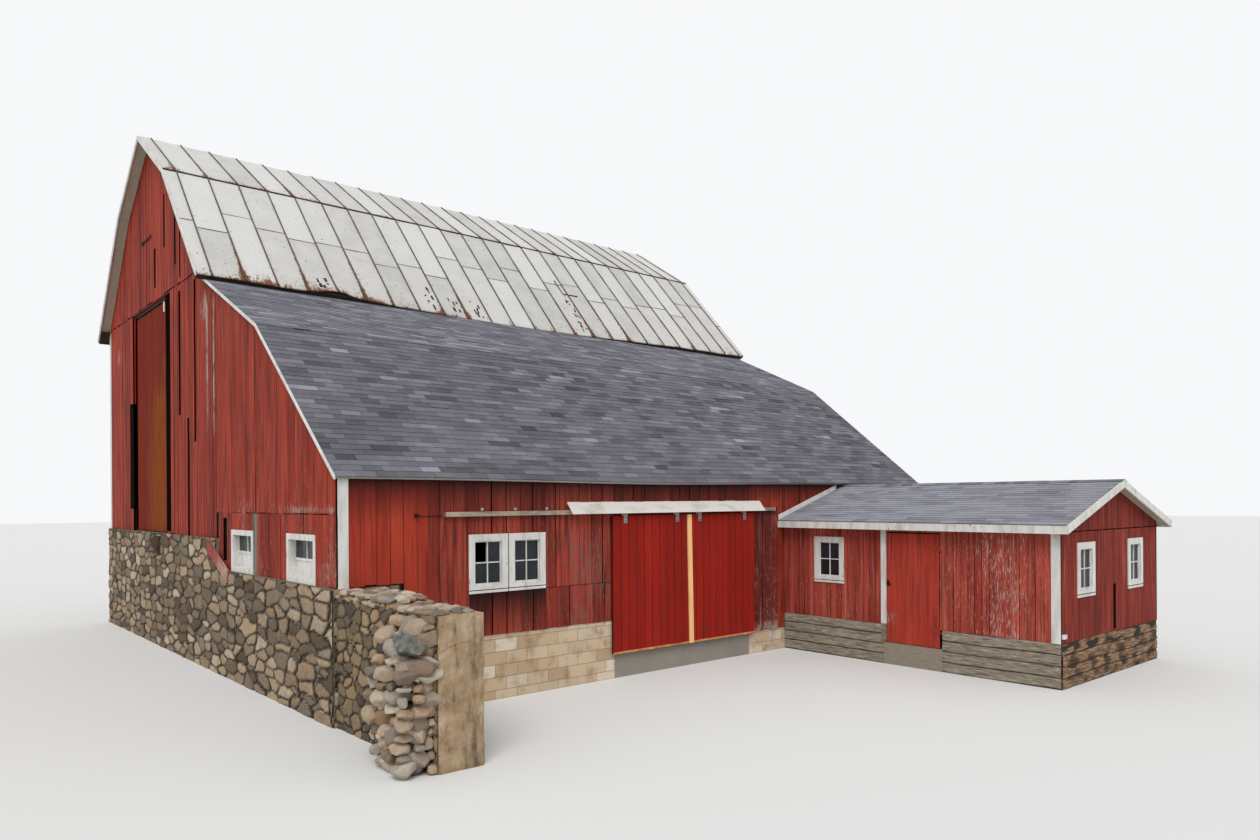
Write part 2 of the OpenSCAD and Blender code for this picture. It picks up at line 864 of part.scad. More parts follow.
module cellar_frame() {
    ring = cellar_casing;
    half = ring / 2;
    difference() {
        union() {
            block([0, -casing_proud, 0], [cellar_w, 0, cellar_h]);
            block([half, 0, half], [cellar_w - half, wall_t, cellar_h - half]);
        }
        block([ring, -casing_proud - 1, ring], [cellar_w - ring, wall_t + 1, cellar_h - ring]);
    }
    block([ring, cellar_set, ring],
        [cellar_w - ring, cellar_set + cellar_panel_t, ring + cellar_panel_h]);
}

module window_frames() {
    color("white") {
        for (i = [0, 1])
            translate([front_window_x + i * (window_w + window_gap), 0, front_window_z])
                window_frame(wall_t);
        for (y = [cellar_a_y, cellar_b_y])
            facing_left(0, y + cellar_w, stone_low_z)
                cellar_frame();
        facing_left(wing_x, -side_window_y, wing_window_z)
            window_frame(wing_wall_t);
        for (x = [end_window_a, end_window_b])
            translate([wing_x + x, wing_end_y, wing_window_z])
                window_frame(wing_wall_t);
    }
}

module window_pane() {
    block([casing_w, glass_set, casing_w],
        [window_w - casing_w, glass_set + glass_t, window_h - casing_w]);
}

module window_glass() {
    color("lightsteelblue", 0.4) {
        for (i = [0, 1])
            translate([front_window_x + i * (window_w + window_gap), 0, front_window_z])
                window_pane();
        for (y = [cellar_a_y, cellar_b_y])
            facing_left(0, y + cellar_w, stone_low_z)
                block([cellar_casing, cellar_set, cellar_casing + cellar_panel_h],
                    [cellar_w - cellar_casing, cellar_set + glass_t, cellar_h - cellar_casing]);
        facing_left(wing_x, -side_window_y, wing_window_z)
            window_pane();
        for (x = [end_window_a, end_window_b])
            translate([wing_x + x, wing_end_y, wing_window_z])
                window_pane();
    }
}

// Sliding doors

module track_profile() {
    half = track_w / 2;
    slot = track_slot / 2;
    t = track_wall;
    polygon([[-half, 0], [-slot, 0], [-slot, t], [-half + t, t], [-half + t, track_h - t],
        [half - t, track_h - t], [half - t, t], [slot, t], [slot, 0], [half, 0],
        [half, track_h], [-half, track_h]]);
}

// One hanger, its wheels in a track whose bottom is at z = track_gap over the door
module hanger(door_t) {
    axle_z = track_gap + track_wall + wheel_gap + wheel_d / 2;
    roller_w = track_w - 2 * (track_wall + roller_play);
    stem_half = wheel_pitch / 2 + stem_lap;
    union() {
        for (side = [-1, 1])
            translate([side * wheel_pitch / 2, roller_w / 2, axle_z])
                rotate([90, 0, 0])
                    cylinder(d = wheel_d, h = roller_w);
        block([-stem_half, -stem_t / 2, strap_t], [stem_half, stem_t / 2, axle_z]);
        block([-strap_w / 2, -door_t / 2 - strap_t, 0], [strap_w / 2, stem_t / 2, strap_t]);
        block([-strap_w / 2, -door_t / 2 - strap_t, -strap_h], [strap_w / 2, -door_t / 2, strap_t]);
    }
}

module door_track() {
    step = (track_len - bracket_w) / (bracket_count - 1);
    color("darkkhaki")
        union() {
            translate([0, track_y, track_z])
                along_x(track_x, track_x + track_len)
                    track_profile();
            for (i = [0 : bracket_count - 1])
                block([track_x + i * step, track_y + track_w / 2, track_z],
                    [track_x + i * step + bracket_w, 0, track_z + track_h]);
        }
}

module door_hood() {
    color("whitesmoke")
        along_x(hood_x, hood_x + hood_len)
            polygon([[0, hood_top_z], [-hood_out, hood_low_z],
                [-hood_out + hood_t, hood_low_z], [0, hood_top_z - hood_t * 1.5]]);
}

module door_leaf(x) {
    block([x, leaf_y, leaf_z], [x + leaf_w, leaf_y + leaf_t, leaf_z + leaf_h]);
}

module leaf_hangers(x) {
    for (at = [hanger_inset, leaf_w - hanger_inset])
        translate([x + at, track_y, leaf_z + leaf_h])
            hanger(leaf_t);
}

right_leaf_x = doors_x + leaf_w + leaf_gap;

module left_door() {
    color("darkred")
        door_leaf(doors_x);
}

module left_hangers() {
    color("silver")
        leaf_hangers(doors_x);
}

module pine_strip() {
    joint = doors_x + leaf_w + leaf_gap / 2;
    face = leaf_y - strip_clear;
    color("navajowhite")
        union() {
            block([joint - strip_w / 2, face - strip_t, leaf_z],
                [joint + strip_w / 2, face, leaf_z + leaf_h]);
            block([joint - strip_w / 2, face, leaf_z], [doors_x + leaf_w, leaf_y, leaf_z + leaf_h]);
        }
}

module right_door() {
    color("darkred")
        door_leaf(right_leaf_x);
}

module right_hangers() {
    color("silver")
        leaf_hangers(right_leaf_x);
}

// Wagon door, hung behind the gable wall

module wagon_door() {
    color("brown")
        block([wagon_leaf_x, wagon_leaf_y, wagon_leaf_z],
            [wagon_leaf_x + wagon_leaf_t, wagon_leaf_y + wagon_leaf_w, wagon_leaf_top]);
}

module wagon_hangers() {
    color("dimgray")
        for (at = [hanger_inset, wagon_leaf_w - hanger_inset])
            translate([wagon_track_x, wagon_leaf_y + at, wagon_leaf_top])
                rotate([0, 0, 90])
                    hanger(wagon_leaf_t);
}

// The track ends where the rafters come down to its top
module wagon_track() {
    step = (wagon_track_len - bracket_w) / (bracket_count - 1);
    color("dimgray")
        union() {
            translate([wagon_track_x, 0, wagon_track_z])
                along_y(wagon_track_y, wagon_track_y + wagon_track_len)
                    track_profile();
            for (i = [0 : bracket_count - 1])
                block([wagon_board_t, wagon_track_y + i * step, wagon_track_z + track_wall],
                    [wagon_track_x - track_w / 2 + track_wall,
                        wagon_track_y + i * step + bracket_w, wagon_track_z + track_h]);
        }
}

// Wing

module wing_sills() {
    door_near = -wing_door_y + threshold_lap;
    door_far = -wing_door_y - wing_door_w - threshold_lap;
    color("rosybrown") {
        block([wing_x, door_near, 0], [wing_x + wing_sill_t, 0, wing_sill_z]);
        union() {
            block([wing_x, wing_end_y, 0], [wing_x + wing_sill_t, door_far, wing_sill_z]);
            block([wing_x, wing_end_y, 0], [wing_x + wing_w, wing_end_y + wing_sill_t, wing_sill_z]);
            block([wing_x + wing_w - wing_sill_t, wing_end_y, 0],
                [wing_x + wing_w, 0, wing_sill_z]);
        }
    }
}

module wing_floor() {
    color("lightgray")
        block([wing_x + wing_sill_t, wing_end_y + wing_sill_t, ground_floor_z - ground_floor_t],
            [wing_x + wing_w - wing_sill_t, 0, ground_floor_z]);
}

module wing_threshold() {
    color("rosybrown")
        block([wing_x - corner_t, -wing_door_y - wing_door_w - threshold_lap, 0],
            [wing_x + wing_sill_t, -wing_door_y + threshold_lap, wing_door_z]);
}

module wing_side_profile(low) {
    polygon([[wing_x, low], [wing_x + wing_wall_t, low],
        [wing_x + wing_wall_t, wing_seat(wing_half - wing_wall_t)],
        [wing_x, wing_seat(wing_half)]]);
}

module wing_side_wall() {
    color("firebrick") {
        difference() {
            along_y(-wing_door_y, 0)
                wing_side_profile(wing_sill_z);
            facing_left(wing_x, -side_window_y, wing_window_z)
                window_hole();
        }
        along_y(wing_end_y + wing_wall_t, -wing_door_y - wing_door_w)
            wing_side_profile(wing_sill_z);
    }
}

module wing_wall_over_door() {
    color("firebrick")
        along_y(-wing_door_y - wing_door_w, -wing_door_y)
            wing_side_profile(wing_door_top);
}

module wing_end_wall() {
    color("firebrick")
        difference() {
            along_y(wing_end_y, wing_end_y + wing_wall_t)
                polygon([[wing_x, wing_sill_z], [wing_x + wing_w, wing_sill_z],
                    [wing_x + wing_w, wing_seat(wing_half)], [wing_ridge_x, wing_seat(0)],
                    [wing_x, wing_seat(wing_half)]]);
            for (x = [end_window_a, end_window_b])
                translate([wing_x + x, wing_end_y, wing_window_z])
                    window_hole();
        }
}

module wing_far_wall() {
    color("firebrick")
        translate([2 * wing_ridge_x, 0, 0])
            mirror([1, 0, 0])
                along_y(wing_end_y + wing_wall_t, 0)
                    wing_side_profile(wing_sill_z);
}

module wing_roof(side) {
    color("slategray")
        along_y(wing_roof_y, 0)
            polygon([[wing_ridge_x, wing_ridge_z],
                [wing_ridge_x + side * (wing_half + wing_eave_over), wing_eave_z],
                [wing_ridge_x + side * (wing_half + wing_eave_over),
                    wing_under(wing_half + wing_eave_over)],
                [wing_ridge_x, wing_under(0)]]);
}

module wing_roof_near() {
    wing_roof(-1);
}

module wing_roof_far() {
    wing_roof(1);
}

module wing_fascias() {
    edge = wing_half + wing_eave_over;
    top = wing_eave_z - fascia_drop;
    color("white") {
        union() {
            for (side = [-1, 1])
                along_y(wing_roof_y, 0)
                    polygon([[wing_ridge_x + side * edge, top],
                        [wing_ridge_x + side * (edge + fascia_t), top],
                        [wing_ridge_x + side * (edge + fascia_t), top - fascia_h],
                        [wing_ridge_x + side * edge, top - fascia_h]]);
            along_y(wing_roof_y - fascia_t, wing_roof_y)
                polygon([[wing_ridge_x - edge - fascia_t, top],
                    [wing_ridge_x, wing_ridge_z],
                    [wing_ridge_x + edge + fascia_t, top],
                    [wing_ridge_x + edge + fascia_t, top - fascia_h],
                    [wing_ridge_x, wing_ridge_z - fascia_h],
                    [wing_ridge_x - edge - fascia_t, top - fascia_h]]);
        }
    }
}

// Boards on the front wall that close the joint over the wing's roof
module wing_flashing() {
    far = wing_half + wing_eave_over;
    near = flash_h / wing_slope;
    color("white")
        for (side = [-1, 1])
            along_y(-fascia_t, 0)
                polygon([for (p = [[near, flash_seat], [far, flash_seat], [far, flash_seat + flash_h],
                    [near, flash_seat + flash_h]])
                    [wing_ridge_x + side * p[0], wing_ridge_z - p[0] * wing_slope + p[1]]]);
}

module wing_door() {
    face = wing_x - wing_door_proud;
    color("firebrick")
        block([face, -wing_door_y - wing_door_w + wing_door_clear, wing_door_z + wing_door_clear],
            [face + wing_door_t, -wing_door_y - wing_door_clear, wing_door_top - wing_door_clear]);
}

// The eyes and straps of the two hinges, fixed to the face of the door
module wing_door_hinges() {
    face = wing_x - wing_door_proud;
    strap_len = 260;
    color("darkslategray")
        for (z = hinge_heights)
            difference() {
                union() {
                    translate([hinge_x, hinge_y, z])
                        cylinder(r = knuckle_r, h = knuckle_h);
                    block([face - hinge_plate_t, hinge_y + hinge_edge, z],
                        [face, hinge_y + strap_len, z + knuckle_h]);
                }
                translate([hinge_x, hinge_y, z - 1])
                    cylinder(r = pin_r + pin_clear, h = knuckle_h + 2);
            }
}

// The fixed pins of the two hinges, on plates on the siding
module wing_hinge_pins() {
    foot_h = 12;
    plate_h = 40;
    plate_w = 60;
    edge_gap = 2;
    color("darkslategray")
        for (z = hinge_heights) {
            foot_z = z - wheel_gap;
            union() {
                translate([hinge_x, hinge_y, foot_z - foot_h])
                    cylinder(r = pin_r, h = knuckle_h + foot_h);
                block([hinge_x - pin_r, hinge_y - plate_w, foot_z - foot_h],
                    [wing_x, hinge_y - edge_gap, foot_z]);
                block([wing_x - hinge_plate_t, hinge_y - plate_w, foot_z - plate_h],
                    [wing_x, hinge_y - plate_w / 3, foot_z]);
            }
        }
}

// The origin is the middle of the ground plan, at the lowest ground
origin_x = barn_len / 2;
origin_y = (barn_depth + eave_over + wing_roof_y - fascia_t) / 2;

module place() {
    translate([-origin_x, -origin_y, 0])
        children();
}

place() near_stone_foundation();
place() back_stone_foundation();
place() far_stone_foundation();
place() block_foundation();
place() retaining_wall();
place() fallen_stones();
place() ground_floor();
place() loft_floor();
place() barn_floor();
place() inner_posts();
place() inner_plate();
place() inner_girders();
place() purlin_beams();
place() front_wall();
place() front_wall_over_doors();
place() lean_to_gable();
place() gable_wall();
place() gable_wall_top();
place() far_lean_to_gable();
place() far_gable();
place() back_wall();
place() shingle_roof_lower();
place() shingle_roof_upper();
place() steel_roof_front_lower();
place() steel_roof_front_upper();
place() steel_roof_back_upper();
place() steel_roof_back_lower();
place() rake_boards();
place() corner_boards();
place() slipped_board();
place() window_frames();
place() window_glass();
place() door_track();
place() door_hood();
place() left_door();
place() left_hangers();
place() pine_strip();
place() right_door();
place() right_hangers();
place() wagon_door();
place() wagon_hangers();
place() wagon_track();
place() wing_sills();
place() wing_floor();
place() wing_threshold();
place() wing_side_wall();
place() wing_wall_over_door();
place() wing_end_wall();
place() wing_far_wall();
place() wing_roof_near();
place() wing_roof_far();
place() wing_fascias();
place() wing_flashing();
place() wing_door();
place() wing_door_hinges();
place() wing_hinge_pins();
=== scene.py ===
import math

import bpy
import numpy as np
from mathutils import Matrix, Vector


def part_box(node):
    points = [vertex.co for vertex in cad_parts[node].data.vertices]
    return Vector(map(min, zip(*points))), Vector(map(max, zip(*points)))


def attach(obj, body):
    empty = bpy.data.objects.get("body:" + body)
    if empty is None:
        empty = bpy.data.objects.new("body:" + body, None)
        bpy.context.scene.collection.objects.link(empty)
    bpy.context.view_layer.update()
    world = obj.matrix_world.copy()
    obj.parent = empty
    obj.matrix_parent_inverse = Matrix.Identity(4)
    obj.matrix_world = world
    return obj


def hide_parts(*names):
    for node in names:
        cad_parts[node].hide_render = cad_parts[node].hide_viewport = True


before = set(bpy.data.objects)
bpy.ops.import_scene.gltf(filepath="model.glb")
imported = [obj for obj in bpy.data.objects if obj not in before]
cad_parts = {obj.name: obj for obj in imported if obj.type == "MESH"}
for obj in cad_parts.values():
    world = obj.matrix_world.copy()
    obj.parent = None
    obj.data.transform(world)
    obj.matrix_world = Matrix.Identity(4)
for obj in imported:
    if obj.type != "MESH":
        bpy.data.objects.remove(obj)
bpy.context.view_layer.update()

# The frame of places. Everything below is in metres from the barn's near corner on the
# ground: x along the front, y towards the back, z up.
corner = np.array([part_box("lean_to_gable")[0].x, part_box("front_wall")[0].y, 0.0])

# The camera stands off the near corner at the height of a first floor window, level, with
# a small shift and tilt that put the barn where the photograph has it.
camera = bpy.data.cameras.new("camera")
camera.sensor_width = 36
camera.lens = 25.1
camera.shift_y = 0.0637
camera_stand = bpy.data.objects.new("camera", camera)
camera_stand.location = corner + (-4.887, -11.746, 3.10)
camera_stand.rotation_euler = (math.radians(90), math.radians(0.363), math.radians(-41.03))
bpy.context.scene.collection.objects.link(camera_stand)
bpy.context.scene.camera = camera_stand


# Fieldstone walls: rough tan and brown fieldstones in lime mortar, laid up in uneven
# courses under the old barn. The stones stand a finger proud of the mortar, which is the
# face of the wall itself, and each has its own colour.
def tint(code):
    """Linear colour of a six-digit sRGB code."""
    c = np.array([int(code[i:i + 2], 16) for i in (0, 2, 4)]) / 255
    return (*np.where(c < 0.04045, c / 12.92, ((c + 0.055) / 1.055) ** 2.4), 1.0)


def material(name, roughness, metallic=0.0, specular=0.3):
    """A new material with these constants on its shader; returns it and its node tree."""
    new = bpy.data.materials.new(name)
    new.use_nodes = True
    shader = new.node_tree.nodes["Principled BSDF"]
    shader.inputs["Roughness"].default_value = roughness
    shader.inputs["Metallic"].default_value = metallic
    shader.inputs["Specular IOR Level"].default_value = specular
    new.node_tree.nodes.new("ShaderNodeTexCoord").name = "place"
    return new, new.node_tree


def node(tree, kind, *values, **settings):
    """A new shader node with these settings. The values go to its inputs in order: numbers,
    codes of colours, other nodes' outputs, or None for an input that stays as it is."""
    new = tree.nodes.new("ShaderNode" + kind)
    for key, value in settings.items():
        setattr(new, key, value)
    for socket, value in zip(new.inputs, values):
        if isinstance(value, bpy.types.NodeSocket):
            tree.links.new(value, socket)
        elif value is not None:
            socket.default_value = tint(value) if isinstance(value, str) else value
    return new


def noise(tree, size, stretch=(1, 1, 1), detail=4.0, rough=0.55):
    """Fractal noise with blobs about size metres across, drawn out along the axes by stretch."""
    place = tree.nodes["place"].outputs["Object"]
    mapping = node(tree, "Mapping", place, None, None, [1 / (size * s) for s in stretch])
    return node(tree, "TexNoise", mapping.outputs[0], None, 1.0, detail, rough).outputs[0]


def attribute(tree, name):
    """One number a point, from the piece's own mesh."""
    return node(tree, "Attribute", attribute_name=name).outputs["Fac"]


def spread(tree, value, low, high, to_low=0.0, to_high=1.0):
    """A value between low and high, spread evenly over another range and held inside it."""
    return node(tree, "MapRange", value, low, high, to_low, to_high).outputs[0]


def maths(tree, kind, a, b):
    """Two values combined: ADD, MULTIPLY, MAXIMUM and the like."""
    return node(tree, "Math", a, b, operation=kind).outputs[0]


def ramp(tree, value, *colours):
    """Colours spread evenly over a value from 0 to 1."""
    ramped = node(tree, "ValToRGB", value)
    stops = ramped.color_ramp.elements
    while len(stops) < len(colours):
        stops.new(0.5)
    for i, code in enumerate(colours):
        stops[i].position = i / (len(colours) - 1)
        stops[i].color = tint(code)
    return ramped.outputs[0]


def mix(tree, factor, a, b):
    """Colour a turned into colour b as far as the factor says."""
    return node(tree, "Mix", factor, *[None] * 5, a, b, data_type="RGBA").outputs[2]


def stained(tree, base, code, value, low, high, most=1.0):
    """A colour turned into another while a value goes from low to high, and at most this far."""
    return mix(tree, spread(tree, value, low, high, 0.0, most), base, code)


def colour(tree, value):
    """Gives the shader its base colour."""
    tree.links.new(value, tree.nodes["Principled BSDF"].inputs["Base Color"])


def bump(tree, height, depth):
    """Gives the shader a bump of this depth in metres from a height of 0 to 1."""
    bumped = node(tree, "Bump", 1.0, depth)
    tree.links.new(height, bumped.inputs["Height"])
    tree.links.new(bumped.outputs[0], tree.nodes["Principled BSDF"].inputs["Normal"])


def grid_quads(rows, columns, first=0):
    """Corner numbers of the quads of a grid of points, row by row."""
    i = first + np.arange(rows - 1)[:, None] * columns + np.arange(columns - 1)
    return np.stack([i, i + columns, i + columns + 1, i + 1], -1).reshape(-1, 4)


def upright(x, y, dx, dy):
    """The face of a wall that starts at x, y and runs along dx, dy with its outside on the
    right: a function that gives the point u along it, v up it and out from it."""
    def face(u, v, out):
        u, v, out = np.broadcast_arrays(u, v, out)
        return np.stack([x + u * dx + out * dy, y + u * dy - out * dx, v], -1)
    return face


def piece(name, points, quads, finish, slot, body="barn", smooth=False, stands_for=(), **attributes):
    """A piece from points in metres from the near corner and quads between them, with a
    finish, a body to ride on, the CAD nodes that it stands for and numbers for its points."""
    mesh = bpy.data.meshes.new(name)
    points = points.reshape(-1, 3)
    mesh.vertices.add(len(points))
    mesh.vertices.foreach_set("co", (points + corner).astype(np.float32).ravel())
    mesh.loops.add(quads.size)
    mesh.loops.foreach_set("vertex_index", quads.ravel().astype(np.int32))
    mesh.polygons.add(len(quads))
    mesh.polygons.foreach_set("loop_start", np.arange(0, quads.size, 4, dtype=np.int32))
    mesh.update(calc_edges=True)
    mesh.polygons.foreach_set("use_smooth", np.full(len(quads), smooth))
    for key, values in attributes.items():
        values = np.broadcast_to(np.ravel(values), len(points))
        mesh.attributes.new(key, "FLOAT", "POINT").data.foreach_set("value", values.ravel())
    mesh.materials.append(finish)
    thing = bpy.data.objects.new(name, mesh)
    bpy.context.scene.collection.objects.link(thing)
    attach(thing, body)
    if stands_for:
        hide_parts(*stands_for)
    return thing


def dress(finish, *nodes):
    """Gives CAD nodes a finish."""
    for name in nodes:
        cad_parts[name].data.materials.clear()
        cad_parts[name].data.materials.append(finish)


def cells(u, v, wide, high, seed):
    """Scatters one seed of its own weight in each wide by high field and returns for each
    point the distances to its nearest and second nearest seed, in fields, how far it lies
    right of and above the nearest, and two random numbers of that seed."""
    rng = np.random.default_rng(seed)
    a, b = (u - u.min()) / wide + 2, (v - v.min()) / high + 2
    count = (int(a.max()) + 3, int(b.max()) + 3)
    shift, number = rng.uniform(0.14, 0.86, (*count, 2)), rng.random((*count, 2))
    weight = rng.uniform(0.72, 1.3, count)
    first, second = np.full(u.shape, 9.0), np.full(u.shape, 9.0)
    right, above, own, other = np.zeros((4, *u.shape))
    for di in (-1, 0, 1):
        for dj in (-1, 0, 1):
            i, j = a.astype(int) + di, b.astype(int) + dj
            x, y = a - i - shift[i, j, 0], b - j - shift[i, j, 1]
            d = np.hypot(x, y) / weight[i, j]
            second = np.minimum(second, np.maximum(d, first))
            near = d < first
            right, above = np.where(near, x, right), np.where(near, y, above)
            own, other = np.where(near, number[i, j, 0], own), np.where(near, number[i, j, 1], other)
            first = np.minimum(first, d)
    return first, second, right, above, own, other


def ripple(u, v, size, seed, waves=24):
    """Smooth noise from -1 to 1: a sum of waves of about this size in all directions."""
    rng = np.random.default_rng(seed)
    angle, phase = rng.uniform(0, math.tau, (2, waves))
    pace = math.tau / (size * rng.uniform(0.6, 2.2, waves))
    out = sum(np.sin(k * (u * math.cos(a) + v * math.sin(a)) + p)
              for a, p, k in zip(angle, phase, pace))
    return out / math.sqrt(2 * waves)


stone_proud, stone_step = 0.042, 0.028


def stonework(name, face, u0, u1, top, finish, wide=0.40, high=0.25, seed=1, quiet=None,
              step=stone_step):
    """Fieldstones on a face from u0 to u1, up to a height that is a number or a function of u.
    Each stone is a rounded swelling round its seed, cut off at the joints."""
    height = top if callable(top) else lambda u: top
    u = np.linspace(u0, u1, round((u1 - u0) / step) + 1)
    highest = np.max(height(u))
    v = np.linspace(0, highest, round(highest / step) + 1)
    u, v = np.meshgrid(u, v, indexing="ij")
    warp = 0.05 * ripple(u, v, 0.5, seed) + 0.012 * ripple(u, v, 0.11, seed + 2)
    first, second, right, above, own, other = cells(u + warp, v + 0.6 * warp, wide, high, seed)
    inner = np.clip(np.minimum((second - first) / 0.36, (0.82 - first) / 0.36), 0, 1)
    out = stone_proud * (np.sqrt(1 - (1 - inner) ** 2) * (0.6 + 0.5 * other) - 0.3)
    out += 0.03 * np.clip(inner * 2, 0, 1) * (right * (own - 0.5) + above * (other - 0.6))
    out += 0.005 * ripple(u, v, 0.07, seed + 1)
    if quiet is not None:
        out = np.where(quiet(u, v), -0.004, out)
    quads = grid_quads(*u.shape)
    under_top = v.ravel()[quads].max(1) <= height(u.ravel()[quads].mean(1)) + 0.001
    piece(name, face(u, v, out), quads[under_top], finish, "fieldstone",
          smooth=True, tone=own, joint=np.clip(1.8 - 3.3 * inner, 0, 1))


fieldstone, t = material("fieldstone", 0.9)
grit = noise(t, 0.05, detail=8, rough=0.7)
stone = ramp(t, attribute(t, "tone"), "534636", "96806a", "c0a886", "736a5c", "a88d70", "d6c5ab", "59483a")
stone = stained(t, stone, "4d4033", grit, 0.35, 0.7, 0.6)
stone = stained(t, stone, "5b4d3c", noise(t, 0.6), 0.5, 0.75, 0.4)
# Painted shade: the joints between the stones are coloured near black, as the gaps between them lie in
# shade.
colour(t, mix(t, attribute(t, "joint"), stone, mix(t, grit, "3a2c1e", "110b07")))
bump(t, grit, 0.02)
mortar, t = material("mortar", 0.95)
colour(t, mix(t, noise(t, 0.08, detail=8), "8b8070", "5d564b"))
bump(t, noise(t, 0.03, detail=6), 0.006)
dress(mortar, "near_stone_foundation", "back_stone_foundation", "far_stone_foundation")

barn_side, lean_depth = 14.63, 6.0
gable_top, low_top, step_y = 2.45, 1.90, 5.30
proud, corner_wide = 0.06, 0.9
loose_board, half_hidden = ((4.56, 1.78), (5.82, 2.33)), 0.16
front_face = upright(0, 0, 1, 0)


def under_board(u, v):
    """Where the slipped board lies against the stones."""
    (y0, z0), (y1, z1) = loose_board
    y = -u
    rise = z0 + (y - y0) * (z1 - z0) / (y1 - y0)
    return (y > y0) & (y < y1) & (np.abs(v - rise) < half_hidden)


stonework("gable_stones", upright(-proud, 0, 0, -1), -barn_side, 0.0,
          lambda u: np.where(-u < step_y, low_top, gable_top), fieldstone, wide=0.50,
          high=0.19, seed=3, quiet=under_board)
stonework("corner_stones", front_face, -proud, corner_wide, low_top, fieldstone, seed=5)
stonework("back_stones", upright(barn_side + proud, barn_side, -1, 0), 0.0, barn_side + 2 * proud,
          gable_top, fieldstone, seed=8, step=0.04)
stonework("far_stones", upright(barn_side + proud, lean_depth, 0, 1), 0.0, barn_side - lean_depth,
          gable_top, fieldstone, seed=11, step=0.04)


# Block walls: concrete blocks 0.4 m long and 0.2 m high under the front wall and along the
# far side, weathered tan and grey, with a thin course on top. Each block stands a little
# proud of its joints.
def ring_quads(rings, corners):
    """Corner numbers of the quads between rings of points, each ring after the one before."""
    ring = np.arange(corners)
    after = (ring + 1) % corners
    side = np.stack([ring, after, after + corners, ring + corners], -1)
    return (np.arange(rings - 1)[:, None, None] * corners + side).reshape(-1, 4)


def slabs(face, left, right, low, high, back, front, steps=1, high_right=None):
    """One closed box for each item of the arrays, cut in steps up its height: from left to
    right along a face, low to high up it and back to front out from it. The top may slant
    to high_right, and front may have a row of numbers for each box."""
    left, right, low, high, back = (np.asarray(a, float)[:, None] for a in
                                    np.broadcast_arrays(left, right, low, high, back))
    slant = high if high_right is None else np.asarray(high_right, float)[:, None]
    front = np.asarray(front, float)
    front = np.broadcast_to(front if front.ndim == 2 else front[..., None], (len(left), steps + 1))
    rise = np.linspace(0, 1, steps + 1)[None]
    one = np.ones_like(rise)
    u = np.stack([left * one, left * one, right * one, right * one], -1)
    v = np.stack([low + (high - low) * rise] * 2 + [low + (slant - low) * rise] * 2, -1)
    out = np.stack([back * one, front, front, back * one], -1)
    box = np.concatenate([ring_quads(steps + 1, 4), [[0, 3, 2, 1]], [4 * steps + np.arange(4)]])
    quads = (np.arange(len(left))[:, None, None] * 4 * (steps + 1) + box).reshape(-1, 4)
    return face(u, v, out), quads


def boxes(name, face, spans, back, front, finish, slot, body="barn", **more):
    """A piece of closed boxes on a face, one for each span of left, right, low and high."""
    piece(name, *slabs(face, *np.array(spans, float).T, back, front), finish, slot, body, **more)


def plain(name, roughness, tones, size, stretch=(1, 1, 1), detail=4.0, depth=0.0, span=(0, 1),
          rough=0.55, metallic=0.0, specular=0.3):
    """A material whose tones follow one noise over this span of it, with a bump of the same
    noise where it has a depth."""
    finish, tree = material(name, roughness, metallic, specular)
    grain = noise(tree, size, stretch, detail, rough)
    colour(tree, ramp(tree, spread(tree, grain, *span), *tones))
    if depth:
        bump(tree, grain, depth)
    return finish


block_paint, t = material("concrete_block", 0.92)
base = ramp(t, attribute(t, "tone"), "ad9376", "c0a98a", "cbb89b", "b9a58c", "d8cbb9", "bd9f80")
colour(t, stained(t, base, "7c6048", noise(t, 0.25, detail=6), 0.5, 0.7, 0.55))
bump(t, noise(t, 0.012, detail=5), 0.003)
dress(plain("pale_mortar", 0.95, ("b5a68c", "8d7e63"), 0.08, detail=8), "block_foundation")

far_face = upright(barn_side, 0, 0, 1)
block_long, joint_w, least_block = 0.405, 0.01, 0.05
doorway, left_sill, right_sill = (4.95, 8.47), 1.02, 0.44


def blockwork(name, face, u0, u1, tops, seed):
    """Blocks in courses between these heights, every other course shifted by half a block."""
    spans, half = [], joint_w / 2
    for k, (v0, v1) in enumerate(zip(tops[:-1], tops[1:])):
        for start in np.arange(u0 - block_long * (0.5 if k % 2 else 1), u1, block_long):
            a, b = max(start, u0), min(start + block_long, u1)
            if b - a > least_block:
                spans.append((a + half, b - half, v0 + half, v1 - half))
    rng = np.random.default_rng(seed)
    front = rng.uniform(0.005, 0.009, len(spans))
    boxes(name, face, spans, -0.01, front, block_paint, "block",
          tone=np.repeat(rng.random(len(spans)), 8))


blockwork("front_blocks", front_face, corner_wide, doorway[0],
          (0.0, 0.14, 0.34, 0.54, 0.74, 0.94, left_sill), 2)
blockwork("front_blocks_right", front_face, doorway[1], barn_side, (0.0, 0.2, 0.4, right_sill), 3)
blockwork("far_blocks", far_face, 0.0, lean_depth, (0.0, 0.2, 0.4, right_sill), 4)

# Floors and frame: a worn concrete floor below, dusty planks above, and old sawn posts,
# plates and girders of brown timber that carry the two roofs.
floor_concrete, t = material("worn_concrete", 0.85)
colour(t, mix(t, noise(t, 0.5, detail=8), "9a948a", "7c766d"))
bump(t, noise(t, 0.04, detail=6), 0.003)
dress(floor_concrete, "ground_floor", "wing_floor")
dress(plain("dusty_planks", 0.85, ("86705a", "5f4d3c"), 0.02, (1, 12, 1), 6, 0.003),
      "loft_floor", "barn_floor")
dress(plain("old_timber", 0.85, ("7a614a", "4c3a2a"), 0.03, (6, 6, 1), 7, 0.004),
      "inner_posts", "inner_plate", "inner_girders", "purlin_beams")


